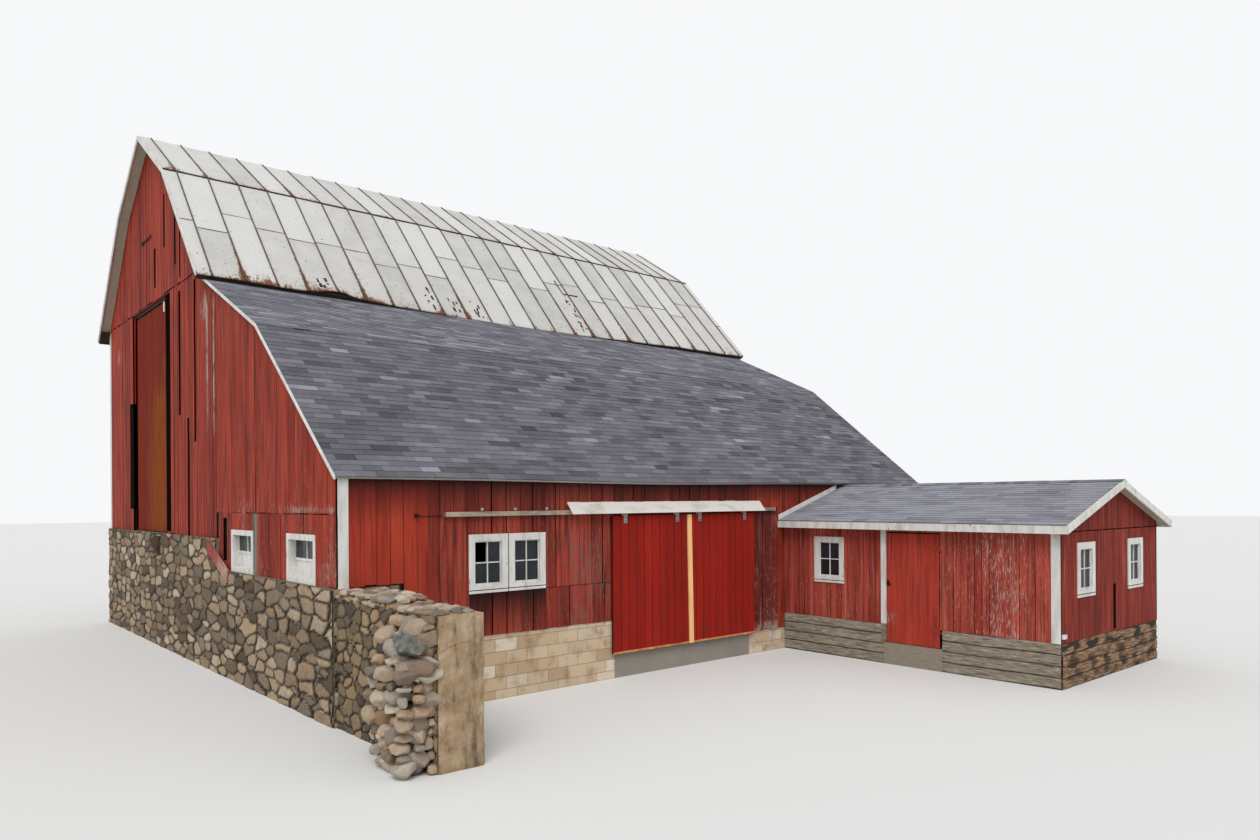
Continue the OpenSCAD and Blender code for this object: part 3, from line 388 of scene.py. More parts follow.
# Board siding: sawn boards nailed upright on the frame, each a little out of line with the
# next, their old barn red worn to streaks and flaked to grey wood where the rain reaches.
def flaking(name, reds, bare=("b89a8a", "8a7468"), flake_low=0.74, faded="b86a56", streaked=1.0):
    """Old red paint: each board a red by its tone, fine grain and long dark and faded streaks
    down it, and bare wood where a stretched noise passes a limit that the wear brings down."""
    finish, tree = material(name, 0.75, specular=0.15)
    grain = noise(tree, 0.014, stretch=(1, 1, 24), detail=5, rough=0.6)
    streak = noise(tree, 0.05, stretch=(1, 1, 22), detail=5, rough=0.6)
    blotch = noise(tree, 0.7, stretch=(1, 1, 1.8), detail=5)
    chips = noise(tree, 0.014, stretch=(1, 1, 9), detail=6, rough=0.66)
    pale = noise(tree, 0.045, stretch=(1, 1, 26), detail=4)
    tone = maths(tree, "ADD", attribute(tree, "tone"), spread(tree, blotch, 0.3, 0.7, -0.25, 0.25))
    red = stained(tree, ramp(tree, tone, *reds), reds[0], grain, 0.35, 0.75, 0.4)
    red = stained(tree, red, faded, pale, 0.55, 0.66, 0.4 * streaked)
    red = stained(tree, red, "43201d", streak, 0.48, 0.66, 0.25 + 0.6 * streaked)
    reach = spread(tree, blotch, 0.3, 0.7, 0.06, 0.24)
    level = maths(tree, "ADD", chips, maths(tree, "MULTIPLY", attribute(tree, "wear"), reach))
    flake = spread(tree, level, flake_low, flake_low + 0.05)
    red = mix(tree, flake, red, mix(tree, streak, *bare))
    # Painted shade: the dark number of a point turns the paint towards near black, under the eaves and on
    # the backing of door leaves where it shows in the grooves.
    colour(tree, mix(tree, attribute(tree, "dark"), red, "1d0d0b"))
    streak, flake = maths(tree, "MULTIPLY", streak, 0.5), maths(tree, "MULTIPLY", flake, 0.3)
    bump(tree, maths(tree, "SUBTRACT", streak, flake), 0.003)
    return finish


old_red = flaking("old_barn_red", ("7a2416", "8e2d1c", "9b3522", "a73c28"))
front_red = flaking("front_barn_red", ("9c3321", "a83b29", "b3432f", "bd4b36"), streaked=0.3)
middle_red = flaking("front_weathered_red", ("7c2a1f", "8e3426", "9c3c2c", "a84433"),
                     ("84706a", "43332f"), 0.68, "94584d")
worn_red = flaking("worn_front_red", ("5e231d", "722920", "863125"), ("c0ada2", "846a61"), 0.68, "a87a6f")
grey_board = flaking("bare_grey_board", ("6e6c62", "7a786d", "868477"), ("98968a", "6f6d63"), 0.7,
                     "9c9a8e", 0.4)
# Painted shade: a near black finish for sheets put behind open joints and cracks and under the window
# casings, where the dark inside would show.
painted_gap_shade = plain("dark_of_the_joints", 1.0, ("1a100d", "0f0a09"), 0.3, specular=0.0)
# Painted shade: the walls behind the siding are coloured near black, as the unlit inside of the barn seen
# through gaps.
dress(plain("wall_inside", 0.9, ("2e2019", "15100c"), 0.03, (1, 1, 10), 6, 0.003),
      "front_wall", "front_wall_over_doors", "lean_to_gable", "gable_wall", "gable_wall_top",
      "far_lean_to_gable", "far_gable", "back_wall", "wing_side_wall", "wing_wall_over_door",
      "wing_end_wall", "wing_far_wall")


def edges_of(first, last, width, vary=0.18, seed=1):
    """Board edges from first to last, about a width apart."""
    count = max(1, round((last - first) / width))
    widths = 1 + np.random.default_rng(seed).uniform(-vary, vary, count)
    return first + (last - first) * np.concatenate([[0], np.cumsum(widths) / widths.sum()])


def siding(name, face, across, low, high, holes=(), seed=1, thick=0.018, gap=0.007, ragged=0.012,
           steps=14, wear=0.3, shade=0.0, finish=old_red, shadow=0.0):
    """Upright boards on a face from low to high, which are numbers or functions of u, with
    rectangles (u0, u1, v0, v1) left out. Across is an array of the boards' edges, or the
    first, the last and the width between them. Wear is a number or a function of u and v,
    shade makes all boards lighter or darker, and painted shade under the eaves darkens the
    boards from shadow below their tops. A dark sheet behind them is painted shade in the joints."""
    rng = np.random.default_rng(seed)
    edges = edges_of(*across, seed=seed) if isinstance(across, tuple) else across
    foot_at, top_at = (h if callable(h) else lambda u, h=h: h for h in (low, high))
    spans = []
    open_joint = 0.5 * gap * rng.choice([0.6, 1.2, 3.0], len(edges), p=(0.35, 0.4, 0.25))
    for number, (a, b) in enumerate(zip(edges[:-1] + open_joint[:-1], edges[1:] - open_joint[1:])):
        cuts = [a] + sorted(c for h in holes for c in h[:2] if a < c < b) + [b]
        foot = rng.uniform(-ragged, ragged)
        for left, right in zip(cuts[:-1], cuts[1:]):
            middle = (left + right) / 2
            start = float(foot_at(middle)) + foot
            for v0, v1 in sorted(h[2:] for h in holes if h[0] < middle < h[1]):
                if v0 > start + 0.01:
                    spans.append((left, right, start, v0, v0, number))
                start = max(start, v1)
            tops = float(top_at(left)), float(top_at(right))
            if min(tops) > start + 0.01:
                spans.append((left, right, start, *tops, number))
    left, right, v0, v1, v2, number = np.array(spans).T
    number = number.astype(int)
    tone = shade + rng.random(number.max() + 1)[number]
    lift = rng.uniform(0, 0.3 * thick, number.max() + 1)[number]
    t = np.linspace(0, 1, steps + 1)
    v = v0[:, None] + (v1 - v0)[:, None] * t
    front = thick + lift[:, None] + 0.1 * thick * ripple(number[:, None] * 5.0, v, 1.2, seed)
    u = np.repeat(((left + right) / 2)[:, None], steps + 1, 1)
    # Painted shade under the eaves: each board darkens towards its top over the last shadow metres.
    dark = np.clip(1 - (np.maximum(v1, v2)[:, None] - v) / shadow, 0, 1) if shadow else 0 * v
    piece(name, *slabs(face, left, right, v0, v1, -0.004, front, steps, v2), finish, "red_boards",
          tone=np.repeat(tone, 4 * (steps + 1)), dark=np.repeat(dark.ravel(), 4),
          wear=np.repeat(wear(u, v).ravel(), 4) if callable(wear) else wear)
    # Painted shade: a dark sheet behind the boards that shows through the joints between them.
    behind = slabs(face, left - 0.02, right + 0.02, v0, v1, -0.003, 0.88 * thick, 1, v2)
    piece(name + "_joints", *behind, painted_gap_shade, "red_boards")


shingle_line = np.array([[-0.09, 3.46], [3.10, 6.03], [6.00, 7.35]])
steel_line = np.array([[5.80, 7.40], [8.215, 10.0], [10.315, 11.33], [12.415, 10.0], [14.83, 7.40]])
shingle_deck, steel_deck = 0.06, 0.075


def lean_under(y):
    """Height of the underside of the shingle roof's deck."""
    return np.interp(y, *shingle_line.T) - shingle_deck


def steel_under(y):
    """Height of the underside of the steel roof's deck."""
    return np.interp(y, *steel_line.T) - steel_deck


gable_face, back_face = upright(0, 0, 0, -1), upright(barn_side, barn_side, -1, 0)
belt, lean_seam = 7.60, 2.92
cellar_windows, cellar_high = [(0.73, 1.88), (3.42, 4.57)], 0.73
missing = (-5.03, -4.82, 2.07, 2.83)
wagon_hole = (-12.02, -8.96, 0.0, belt)
wagon_slot = (-12.35, -12.02, 2.97, 5.50)
top_cracks = [(-9.94, -9.78, 7.88, 8.75), (-9.12, -9.00, 8.60, 9.75), (-8.24, -8.12, 8.05, 9.10),
              (-7.87, -7.76, 7.72, 8.71)]
door_cracks = [(-8.96, -8.58, 2.50, 7.56), (-7.96, -7.79, 4.90, 7.45), (-7.33, -7.18, 2.45, 4.80),
               (-6.84, -6.70, 4.30, 7.48)]
grey_hole = (-3.42, -3.22, low_top, lean_seam)


def bell(x, middle, reach):
    """A bell curve that is 1 at its middle and falls off over its reach to either side."""
    return np.exp(-((x - middle) / reach) ** 2)


def gable_wear(u, v):
    """Worn at the feet of the boards, under the seam and in a few pale streaks."""
    feet = np.exp(-np.maximum(v - 2.0, 0) / 0.8)
    streaks = 1.05 * (bell(u, -5.96, 0.05) + bell(u, -5.56, 0.05)) * ((v > 4.3) & (v < 7.1))
    patch = 1.3 * bell(u, -13.6, 0.25) * bell(v, 6.8, 0.2) + 1.8 * bell(u, -6.15, 0.2) * bell(v, 6.9, 0.3)
    seam = 0.75 * bell(v, 3.0, 0.06) * (u > -step_y)
    return 0.45 + 0.2 * (u > -5.6) + 0.35 * feet + streaks + patch + seam


low_edges = edges_of(-step_y, 0.0, 0.24, seed=21)
low_edges = np.sort(np.append(low_edges[np.abs(low_edges + 3.32) > 0.15], grey_hole[:2]))
gable_middle = -lean_depth - 0.66
high_edges = edges_of(gable_middle, 0.0, 0.26, seed=22)
high_edges = np.sort(np.append(high_edges[(high_edges > -5.5) | (high_edges < -6.02)],
                               (-6.02, -5.90, -5.62, -5.50)))
siding("lean_gable_low_boards", gable_face, low_edges, low_top, lean_seam,
       [(-b, -a, low_top, low_top + cellar_high) for a, b in cellar_windows] + [missing, grey_hole],
       seed=21, ragged=0.02, steps=5, wear=gable_wear)
siding("lean_gable_grey_board", gable_face, np.array(grey_hole[:2]), low_top, lean_seam, seed=25,
       steps=5, finish=grey_board)
boxes("gable_crack_shadows", gable_face, top_cracks + door_cracks, -0.002, 0.0155, painted_gap_shade, "red_boards")
siding("lean_gable_boards", gable_face, high_edges,
       lambda u: lean_seam + 0.008 if u > -step_y else gable_top,
       lambda u: lean_under(-u) if u > -lean_depth else min(steel_under(-u), belt - 0.006),
       seed=22, wear=gable_wear, steps=24)
siding("gable_boards", gable_face, (-14.48, gable_middle, 0.27), gable_top - 0.02,
       lambda u: belt - 0.014 - 0.012 * math.sin(40 * u), [wagon_hole, wagon_slot] + door_cracks,
       seed=23, ragged=0.05, wear=gable_wear, steps=24, gap=0.014)
siding("gable_top_boards", gable_face, (-14.48, -6.1, 0.27), belt + 0.012, lambda u: steel_under(-u),
       top_cracks, seed=24, ragged=0.02, wear=gable_wear, gap=0.014)

front_windows = [(2.05, 2.755), (2.777, 3.482)]
window_low, window_high = 1.68, 2.59
door_head, worn_end, eave = 2.74, 9.35, lean_under(0.0)


def front_wear(u, v):
    """Sound on the left, worn beside the doors and flaked to the wood right of them."""
    return (0.12 + 0.4 * (u > 1.6) + 0.5 * bell(u, 4.3, 0.5) * (v < 2.7)
            + 0.5 * bell(u, 1.8, 0.3) * (v < 2.2) + 0.3 * np.exp(-(v - 0.4) / 0.5))


front_look = dict(wear=front_wear, shadow=0.5)
middle_look = dict(wear=front_wear, finish=middle_red)
siding("front_boards_left", front_face, (0.15, 1.36, 0.21),
       lambda u: low_top + 0.02 if u < corner_wide else left_sill, eave, seed=31, wear=front_wear,
       shadow=0.7, finish=front_red)
siding("front_boards", front_face, (1.36, 3.49, 0.23), left_sill, eave,
       [(front_windows[0][0], front_windows[1][1], window_low, window_high)], seed=32, shadow=0.7,
       **middle_look)
siding("front_boards_low", front_face, (3.49, doorway[0], 0.24), left_sill, window_low - 0.004,
       seed=33, steps=6, **middle_look)
siding("front_boards_high", front_face, (3.49, doorway[0], 0.23), window_low + 0.004, eave,
       seed=34, ragged=0.003, shadow=0.55, **middle_look)
siding("front_boards_over_doors", front_face, (*doorway, 0.23), door_head, eave, seed=35,
       ragged=0.003, wear=front_wear, steps=8, shadow=0.95)
siding("front_boards_worn", front_face, (doorway[1], worn_end, 0.2), right_sill, door_head + 0.2,
       seed=36, wear=lambda u, v: 0.6 + 0.9 * np.exp(-(v - right_sill) / 0.12), finish=worn_red,
       shadow=0.15)
siding("front_boards_right", front_face, (worn_end, 14.48, 0.2), right_sill, eave, seed=30, **front_look)
siding("front_boards_above_worn", front_face, edges_of(doorway[1], worn_end, 0.2, seed=36),
       door_head + 0.205, eave, seed=29, ragged=0.002, steps=6, **front_look)
siding("back_boards", back_face, (0.0, barn_side, 0.27), gable_top, steel_under(barn_side), seed=37,
       ragged=0.03)
siding("far_lean_boards", far_face, (0.0, lean_depth, 0.26), right_sill, lean_under, seed=38)
siding("far_gable_low_boards", far_face, (lean_depth, barn_side, 0.27), gable_top,
       lambda u: min(steel_under(u), belt - 0.006), seed=39, ragged=0.03)
siding("far_gable_top_boards", far_face, (6.1, 14.5, 0.27), belt + 0.006, steel_under, seed=40,
       ragged=0.004)

# Siding of the wing: narrow grooved boards, the most exposed paint of the whole barn, which
# has curled off in long flakes. One crack by the end windows is open to the dark inside.
wing_red = flaking("wing_barn_red", ("8c3529", "9c4033", "a94739", "b55241"), ("d0b9af", "8f7a72"), 0.69,
                   "c98a7c", 0.7)
wing_end_red = flaking("wing_end_red", ("72231a", "80291e", "8a2f23", "943628"), ("b9a094", "8d796e"), 0.76)
wing_x, wing_w, wing_len = 9.60, 4.20, 5.64
wing_sill, wing_belt, wing_board = 0.74, 2.54, 0.13
wing_side_face = upright(wing_x, 0, 0, -1)
wing_end_face = upright(wing_x, -wing_len, 1, 0)
wing_far_face = upright(wing_x + wing_w, -wing_len, 0, 1)
wing_door, wing_window_v, side_window = (2.44, 3.525), (1.44, 2.35), (0.79, 1.495)
end_windows = [(0.59, 1.295), (2.77, 3.475)]
end_crack = (2.11, 2.22, 0.775, 1.575)
wing_ridge, wing_rise, wing_run, wing_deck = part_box("wing_roof_near")[1].z, 0.7306, 2.305, 0.0946


def wing_under(d):
    """Height of the underside of the wing's roof at a distance from its ridge."""
    return wing_ridge - wing_deck - d * wing_rise / wing_run


def wing_wear(u, v):
    """Flaked in upright drifts that are heaviest away from the door."""
    return 0.25 + 0.5 * bell(u, 4.6, 0.9) + 0.25 * bell(u, 1.2, 0.8)


wing_eave = wing_under(wing_w / 2)
for name, face, span, low, high, holes, seed, more in (
        ("inner", wing_side_face, (0.0, 2.33), wing_sill, wing_eave, [(*side_window, *wing_window_v)],
         41, dict(wear=wing_wear, shade=-0.1, finish=wing_red)),
        ("outer", wing_side_face, (wing_door[1], 5.49), wing_sill, wing_eave, [],
         42, dict(wear=wing_wear, finish=wing_red)),
        ("head", wing_side_face, wing_door, 2.48, wing_eave, [], 43, dict(steps=2, finish=wing_red)),
        ("end", wing_end_face, (0.0, wing_w), wing_sill, wing_belt - 0.009,
         [(a, b, *wing_window_v) for a, b in end_windows] + [end_crack], 44, dict(shade=-0.1)),
        ("gable", wing_end_face, (0.0, wing_w), wing_belt + 0.009,
         lambda u: wing_under(abs(u - wing_w / 2)), [], 45, dict(steps=4, shade=-0.1)),
        ("far", wing_far_face, (0.0, wing_len), wing_sill, wing_eave, [], 46, {})):
    siding(f"wing_{name}_boards", face, (*span, wing_board, 0.03), low, high, holes, seed=seed,
           **{**dict(thick=0.006, gap=0.0035, ragged=0.003, finish=wing_end_red), **more})
boxes("wing_end_shadows", wing_end_face, [(0.0, wing_w, wing_belt - 0.014, wing_belt + 0.014), end_crack],
      -0.002, 0.002, painted_gap_shade, "red_boards")

# Timber sills of the wing: grey squared timbers stacked in courses on the ground, split
# along the grain, and under the end wall rotted brown. They carry the wing's walls.
sill_wood, t = material("weathered_timber", 0.9)
grain = noise(t, 0.02, stretch=(10, 10, 1), detail=8, rough=0.65)
level = spread(t, grain, 0.3, 0.7)
wood = ramp(t, level, "3d362e", "7f7667", "958c7c", "bdb4a2")
rotten = ramp(t, level, "2c1f17", "6f533e", "9a7a5c", "b9a48b")
rotted = maths(t, "ADD", attribute(t, "rot"), spread(t, noise(t, 0.35, detail=5), 0.3, 0.7, -0.3, 0.3))
wood = mix(t, spread(t, rotted, 0.4, 0.7), wood, rotten)
# Painted shade: the joints between the courses and the eaten hollows are darkened near black.
colour(t, mix(t, attribute(t, "joint"), wood, "1c1713"))
bump(t, grain, 0.012)
dark_wood = plain("timber_core", 0.95, ("3a3128", "1f1a15"), 0.05, detail=6)
dress(dark_wood, "wing_sills")
dress(plain("threshold_board", 0.9, ("a39a8a", "6d6558"), 0.02, (1, 10, 1), 7, 0.006), "wing_threshold")
sill_course = 0.185


def stacked_timbers(name, face, u0, u1, high, seed, decay):
    """Timbers in courses: a surface that is full in each course, rounded at its edges, and
    split and eaten by noise drawn out along the grain."""
    u = np.linspace(u0, u1, round((u1 - u0) / 0.025) + 1)
    v = np.linspace(0, high, round(high / 0.0125) + 1)
    u, v = np.meshgrid(u, v, indexing="ij")
    wander = 0.012 * ripple(u, 0 * v, 2.0, seed)
    course = (high - v + wander) / sill_course
    near = np.abs((course + 0.5) % 1 - 0.5) * sill_course
    joint = np.clip(1 - near / 0.012, 0, 1)
    split = np.clip(ripple(u / 14, v, 0.05, seed + 1), 0, 1)
    eaten = np.clip(ripple(u / 3, v, 0.16, seed + 2) - 0.6 + decay, 0, 1)
    out = 0.022 - 0.026 * joint ** 0.5 - 0.01 * split - 0.02 * eaten * decay
    out = out + 0.008 * ripple(np.floor(course) * 9.7, 0 * v, 3.0, seed + 3)
    # The joint number marks the gaps between courses and the eaten hollows for painted shade.
    piece(name, face(u, v, out), grid_quads(*u.shape), sill_wood, "sill_timber", smooth=True,
          joint=np.clip(joint * 1.3 + eaten * decay * 0.8, 0, 1), rot=np.full(u.shape, decay))


for name, face, u0, u1, seed, decay in (
        ("inner", wing_side_face, 0.0, 2.40, 51, 0.25), ("outer", wing_side_face, 3.575, wing_len, 52, 0.2),
        ("end", wing_end_face, 0.0, wing_w, 53, 0.9), ("far", wing_far_face, 0.0, wing_len, 54, 0.35)):
    stacked_timbers("wing_timbers_" + name, face, u0, u1, wing_sill, seed, decay)
boxes("wing_jamb_foot", wing_side_face, [(2.335, 2.44, 0.41, 0.752)], -0.01, 0.032, sill_wood,
      "sill_timber", joint=0.25, rot=0.3)


# Sliding doors: two light leaves of grooved boards on a frame, painted a fresher red, with
# bare wood along their feet. A strip of raw pine is nailed over the joint between them.
def gather(*solids):
    """One set of points and quads from several."""
    points, quads, first = [], [], 0
    for more_points, more_quads in solids:
        more_points = more_points.reshape(-1, 3)
        points.append(more_points)
        quads.append(more_quads + first)
        first += len(more_points)
    return np.concatenate(points), np.concatenate(quads)


def leaf(door, body, slot, finish, face, left, right, low, high, back, front, board, seed,
         groove=0.006, steps=12, wear=0.2, vary=0.0):
    """The leaf of a CAD door: a backing as large as the leaf, marked for painted shade where it
    shows in the grooves, with boards and the grooves between them. Wear is a number or a
    function of u and v."""
    edges = edges_of(left, right, board, vary, seed)
    rng = np.random.default_rng(seed)
    skin = back + 0.7 * (front - back)
    a, b = edges[:-1] + groove / 2, edges[1:] - groove / 2
    tone = 0.2 + 0.6 * rng.random(len(a))
    foot = low + rng.uniform(0, 0.004, len(a))
    points, quads = gather(slabs(face, [left], right, low, high, back, skin),
                           slabs(face, a, b, foot, high, skin, front, steps))
    v = low + (high - low) * np.linspace(0, 1, steps + 1)
    u, v = np.broadcast_arrays((a + b)[:, None] / 2, v)
    worn = wear(u, v) if callable(wear) else np.full(u.shape, wear)
    # The backing gets a dark number of 0.85: painted shade where it shows in the grooves.
    piece(door + "_boards", points, quads, finish, slot, body, stands_for=(door,),
          tone=np.append(np.full(8, 0.3), np.repeat(tone, 4 * (steps + 1))),
          dark=np.append(np.full(8, 0.85), np.zeros(worn.size * 4)),
          wear=np.append(np.full(8, 0.2), np.repeat(worn.ravel(), 4)))


door_red = flaking("sliding_door_red", ("87180e", "8f1c11", "971f13", "9f2418"), ("c9b59d", "9a8672"), 0.84,
                   "a8483a", 0.15)
raw_foot = plain("raw_wood_foot", 0.85, ("7c4a2a", "b07443", "c48a57", "d9c3a6"), 0.05, (4, 1, 1), 7,
                 span=(0.3, 0.7), rough=0.7)
pine = plain("raw_pine", 0.7, ("fbc98d", "e2ad70"), 0.012, (1, 1, 30), span=(0.35, 0.7))
door_sides = {"left": (4.860, 6.705), "right": (6.715, 8.560)}
leaf_low, leaf_high, leaf_back, leaf_front = 0.43, 2.83, 0.045, 0.085
for side, (a, b) in door_sides.items():
    body = side + "_sliding_door"
    leaf(side + "_door", body, "red_doors", door_red, front_face, a, b, leaf_low, leaf_high,
         leaf_back, leaf_front, 0.185, 61 + len(side), groove=0.013)
    boxes(side + "_door_foot_rail", front_face, [(a, b, leaf_low - 0.004, leaf_low + 0.034)],
          leaf_front - 0.002, leaf_front + 0.004, raw_foot, "raw_pine", body)
boxes("pine_strip_board", lambda u, v, out: front_face(u + 0.018 * (leaf_high - v), v, out),
      [(6.662, 6.766, leaf_low, leaf_high)], 0.083, 0.110, pine, "raw_pine", "left_sliding_door",
      stands_for=("pine_strip",))

# Wagon door: wide upright boards hung behind the gable's siding, in deep shade, with a stain
# of orange rust and algae down its left half. A leaf hangs a little short of its opening.
wagon_red, t = material("wagon_door_boards", 0.85, specular=0.1)
streak = noise(t, 0.05, stretch=(1, 1, 14), detail=5)
tone = maths(t, "ADD", streak, maths(t, "MULTIPLY", attribute(t, "tone"), 0.3))
wood = ramp(t, spread(t, tone, 0.3, 0.95), "53150a", "70200e", "7f2a12")
rust = maths(t, "MULTIPLY", attribute(t, "wear"), spread(t, streak, 0.3, 0.6))
colour(t, stained(t, wood, "7f3d0b", rust, 0.15, 0.6))
bump(t, streak, 0.006)


def stain_down(u, v):
    """Orange below the middle of the left half."""
    return (1.25 * bell(u, -9.95, 0.85) / (1 + np.exp((v - 5.3) / 0.5))
            + 0.3 * bell(u, -9.4, 0.4) * (v < 6.5))


leaf("wagon_door", "wagon_door", "wagon_boards", wagon_red, gable_face, -11.89, -8.86, 2.47, 7.485,
     -0.097, -0.052, 0.25, 64, wear=stain_down, steps=16, vary=0.1)
lining_t = 0.012
left, right, _, top = wagon_hole
boxes("wagon_door_lining", gable_face,
      [(left, left + lining_t, wagon_slot[3], top), (left, right, top - lining_t, top)],
      -0.038, 0.016, old_red, "red_boards", tone=0.3, wear=0.4)

# Door of the wing: grooved boards hung on two painted strap hinges, with an iron latch at
# its left edge and a patch by the foot where a boot and the rain have worn it grey.
small_door_red = flaking("wing_door_red", ("a2352a", "aa3c2c", "b0412f", "b64733"), ("a59c92", "857b72"),
                         0.78, "b8695c", 0.4)


def kicked(u, v):
    """Bare near the foot on the latch side."""
    return 0.1 + 2.6 * bell(u, 2.56, 0.1) * bell(v, 0.85, 0.16)


leaf("wing_door", "wing_door", "red_doors", small_door_red, wing_side_face, 2.448, 3.517, 0.408, 2.452,
     -0.034, 0.006, 0.107, 65, groove=0.004, wear=kicked)
old_iron = plain("dark_iron", 0.6, ("3a2722", "241d1b"), 0.03, metallic=0.6)
boxes("wing_door_latch", wing_side_face,
      [(2.455, 2.505, 1.47, 1.57), (2.462, 2.537, 1.49, 1.508), (2.462, 2.484, 1.50, 1.55)],
      0.005, (0.010, 0.030, 0.036), old_iron, "iron", "wing_door")
dress(plain("painted_hinge", 0.6, ("9c3728", "7a2f24"), 0.02, detail=6, span=(0.55, 0.6), metallic=0.2),
      "wing_door_hinges", "wing_hinge_pins")

# Tracks and hangers: a galvanized channel on brackets over the sliding doors and a darker one
# inside over the wagon door. The doors hang from strap hangers, each held by two bolts.
zinc = plain("galvanized_track", 0.55, ("857a6a", "a59b8b", "b8b0a2"), 0.06, (3, 1, 1), 6,
             span=(0.3, 0.75), metallic=0.7)
bright_zinc = plain("galvanized_hanger", 0.45, ("b9b7b2", "8e8983"), 0.03, detail=5, metallic=0.8)
dress(zinc, "door_track")
dress(bright_zinc, "left_hangers", "right_hangers")
dress(old_iron, "wagon_hangers", "wagon_track")


def bolts(name, places, radius, height, finish, slot, body):
    """Six-sided bolt heads at these places, a little domed, that stand out of the front."""
    ring = np.linspace(0, math.tau, 6, endpoint=False)
    rim = np.stack([-np.cos(ring), 0 * ring, np.sin(ring)], -1) * radius
    out = np.array((0, -height, 0))
    points = np.array(places)[:, None, None] + np.stack([rim, rim * 0.96 + out, rim * 0.5 + out * 1.04])
    head = np.concatenate([ring_quads(3, 6), [[12, 13, 14, 15], [12, 15, 16, 17]]])
    quads = (np.arange(len(places))[:, None, None] * 18 + head).reshape(-1, 4)
    piece(name, points, quads, finish, slot, body)


boxes("track_bracket_heads", front_face,
      [(u - 0.025, u + 0.025, 2.955, 2.995) for u in 2.285 + 0.61 * np.arange(4)],
      0.0, 0.034, bright_zinc, "track_steel")
boxes("track_end_stub", front_face, [(1.15, 1.19, 2.87, 2.92), (1.19, 1.60, 2.88, 2.89)], 0.0,
      (0.10, 0.03), old_iron, "iron")
hanger_inset, bolt_face, bolt_heights = 0.29, -0.091, (2.725, 2.795)
for side, (a, b) in door_sides.items():
    places = [(x, bolt_face, z) for x in (a + hanger_inset, b - hanger_inset) for z in bolt_heights]
    bolts(side + "_hanger_bolts", places, 0.011, 0.009, old_iron, "galvanized", side + "_sliding_door")

# Hood over the doors: one long folded sheet, painted white, on small iron arms under it.
dress(plain("painted_hood_sheet", 0.5, ("d0cbc4", "9d9184"), 0.25, (2.5, 1, 1), 6, span=(0.5, 0.8)),
      "door_hood")
arms = np.linspace(4.2, 8.5, 8)
boxes("hood_arms", front_face,
      [(u, u + 0.02, low, high) for low, high in ((2.949, 2.961), (2.941, 3.04)) for u in arms],
      0.0, np.repeat((0.095, 0.02), 8), old_iron, "iron")

# White trim: corner boards, rake boards, fascias and the window casings, painted pine whose
# paint has cracked across the grain and come off at the ends and lower edges.
white_paint, t = material("white_trim_paint", 0.6)
flecks = noise(t, 0.05, stretch=(1, 1, 3), detail=9, rough=0.68)
broad = noise(t, 0.45, detail=3)
grime = noise(t, 0.12, stretch=(1, 1, 4), detail=5)
clean = ramp(t, spread(t, grime, 0.3, 0.75), "dcdbd7", "cfcdc8", "b5b0a8")
chipped = maths(t, "ADD", flecks, spread(t, broad, 0.4, 0.75, -0.06, 0.06))
chipped = spread(t, chipped, 0.63, 0.66)
colour(t, mix(t, chipped, clean, ramp(t, flecks, "5c5248", "857868")))
bump(t, maths(t, "SUBTRACT", 1.0, chipped), 0.002)
dress(white_paint, "rake_boards", "corner_boards", "wing_fascias", "wing_flashing", "window_frames")
boxes("wing_corner_stub", wing_end_face, [(0.0, 0.11, 0.82, 0.89)], 0.0, 0.045, white_paint, "white_trim")

# Windows: a wooden sash in each casing with one bar up and one across, four panes bedded in
# putty. The upper left pane of the left front window is gone, so its opening is dark.
glass = plain("window_glass_pane", 0.06, ("1b2025", "2f363c"), 0.4, span=(0.35, 0.7))
glass.node_tree.nodes["Principled BSDF"].inputs["Alpha"].default_value = 0.8
window_w, window_h, casing = 0.705, 0.91, 0.11
sash_w, rail_w, bar_w, sash_t = 0.016, 0.04, 0.018, 0.034


def sash(face, u0, v0, u1, v1, out, panes, gone=()):
    """The bars of a sash and the panes between them, each as one set of closed solids."""
    across, up = panes
    left, right, low, high = u0 + sash_w, u1 - sash_w, v0 + rail_w, v1 - sash_w
    bars = [(u0, left, v0, v1), (right, u1, v0, v1), (left, right, v0, low), (left, right, high, v1)]
    us, vs, half = np.linspace(left, right, across + 1), np.linspace(low, high, up + 1), bar_w / 2
    bars += [(u - half, u + half, low, high) for u in us[1:-1]]
    bars += [(a + half * (i > 0), b - half * (i < across - 1), v - half, v + half)
             for v in vs[1:-1] for i, (a, b) in enumerate(zip(us[:-1], us[1:]))]
    lights = np.array([(us[i], us[i + 1], vs[j], vs[j + 1]) for i in range(across) for j in range(up)
                       if (i, j) not in gone])
    tilt = np.random.default_rng(int(1000 * abs(u0 + v0))).uniform(-0.0015, 0.0015, (len(lights), 2))
    return (slabs(face, *np.array(bars).T, out - sash_t, out),
            slabs(face, *lights.T, out - 0.020, out - 0.014 + tilt))


places = [(front_face, a, window_low) for a, b in front_windows]
places += [(wing_side_face, side_window[0], wing_window_v[0])]
places += [(wing_end_face, a, wing_window_v[0]) for a, b in end_windows]
sashes = [sash(face, u + casing, v + casing, u + window_w - casing, v + window_h - casing, -0.012, (2, 2),
               [(0, 1)] if (face, u) == (front_face, front_windows[0][0]) else [])
          for face, u, v in places]
sashes += [sash(gable_face, 0.09 - b, low_top + 0.32, -a - 0.09, low_top + 0.64, -0.075, (2, 1))
           for a, b in cellar_windows]
bars, lights = zip(*sashes)
# Painted shade: dark lines under the sills of the casings.
joints = [slabs(face, [u - 0.002], u + window_w + 0.002, v + 0.043, v + 0.055, 0.0, 0.0265)
          for face, u, v in places]
piece("window_sashes", *gather(*bars), white_paint, "white_trim")
piece("window_sill_joints", *gather(*joints), painted_gap_shade, "white_trim")
piece("window_panes", *gather(*lights), glass, "glass", stands_for=("window_glass",))


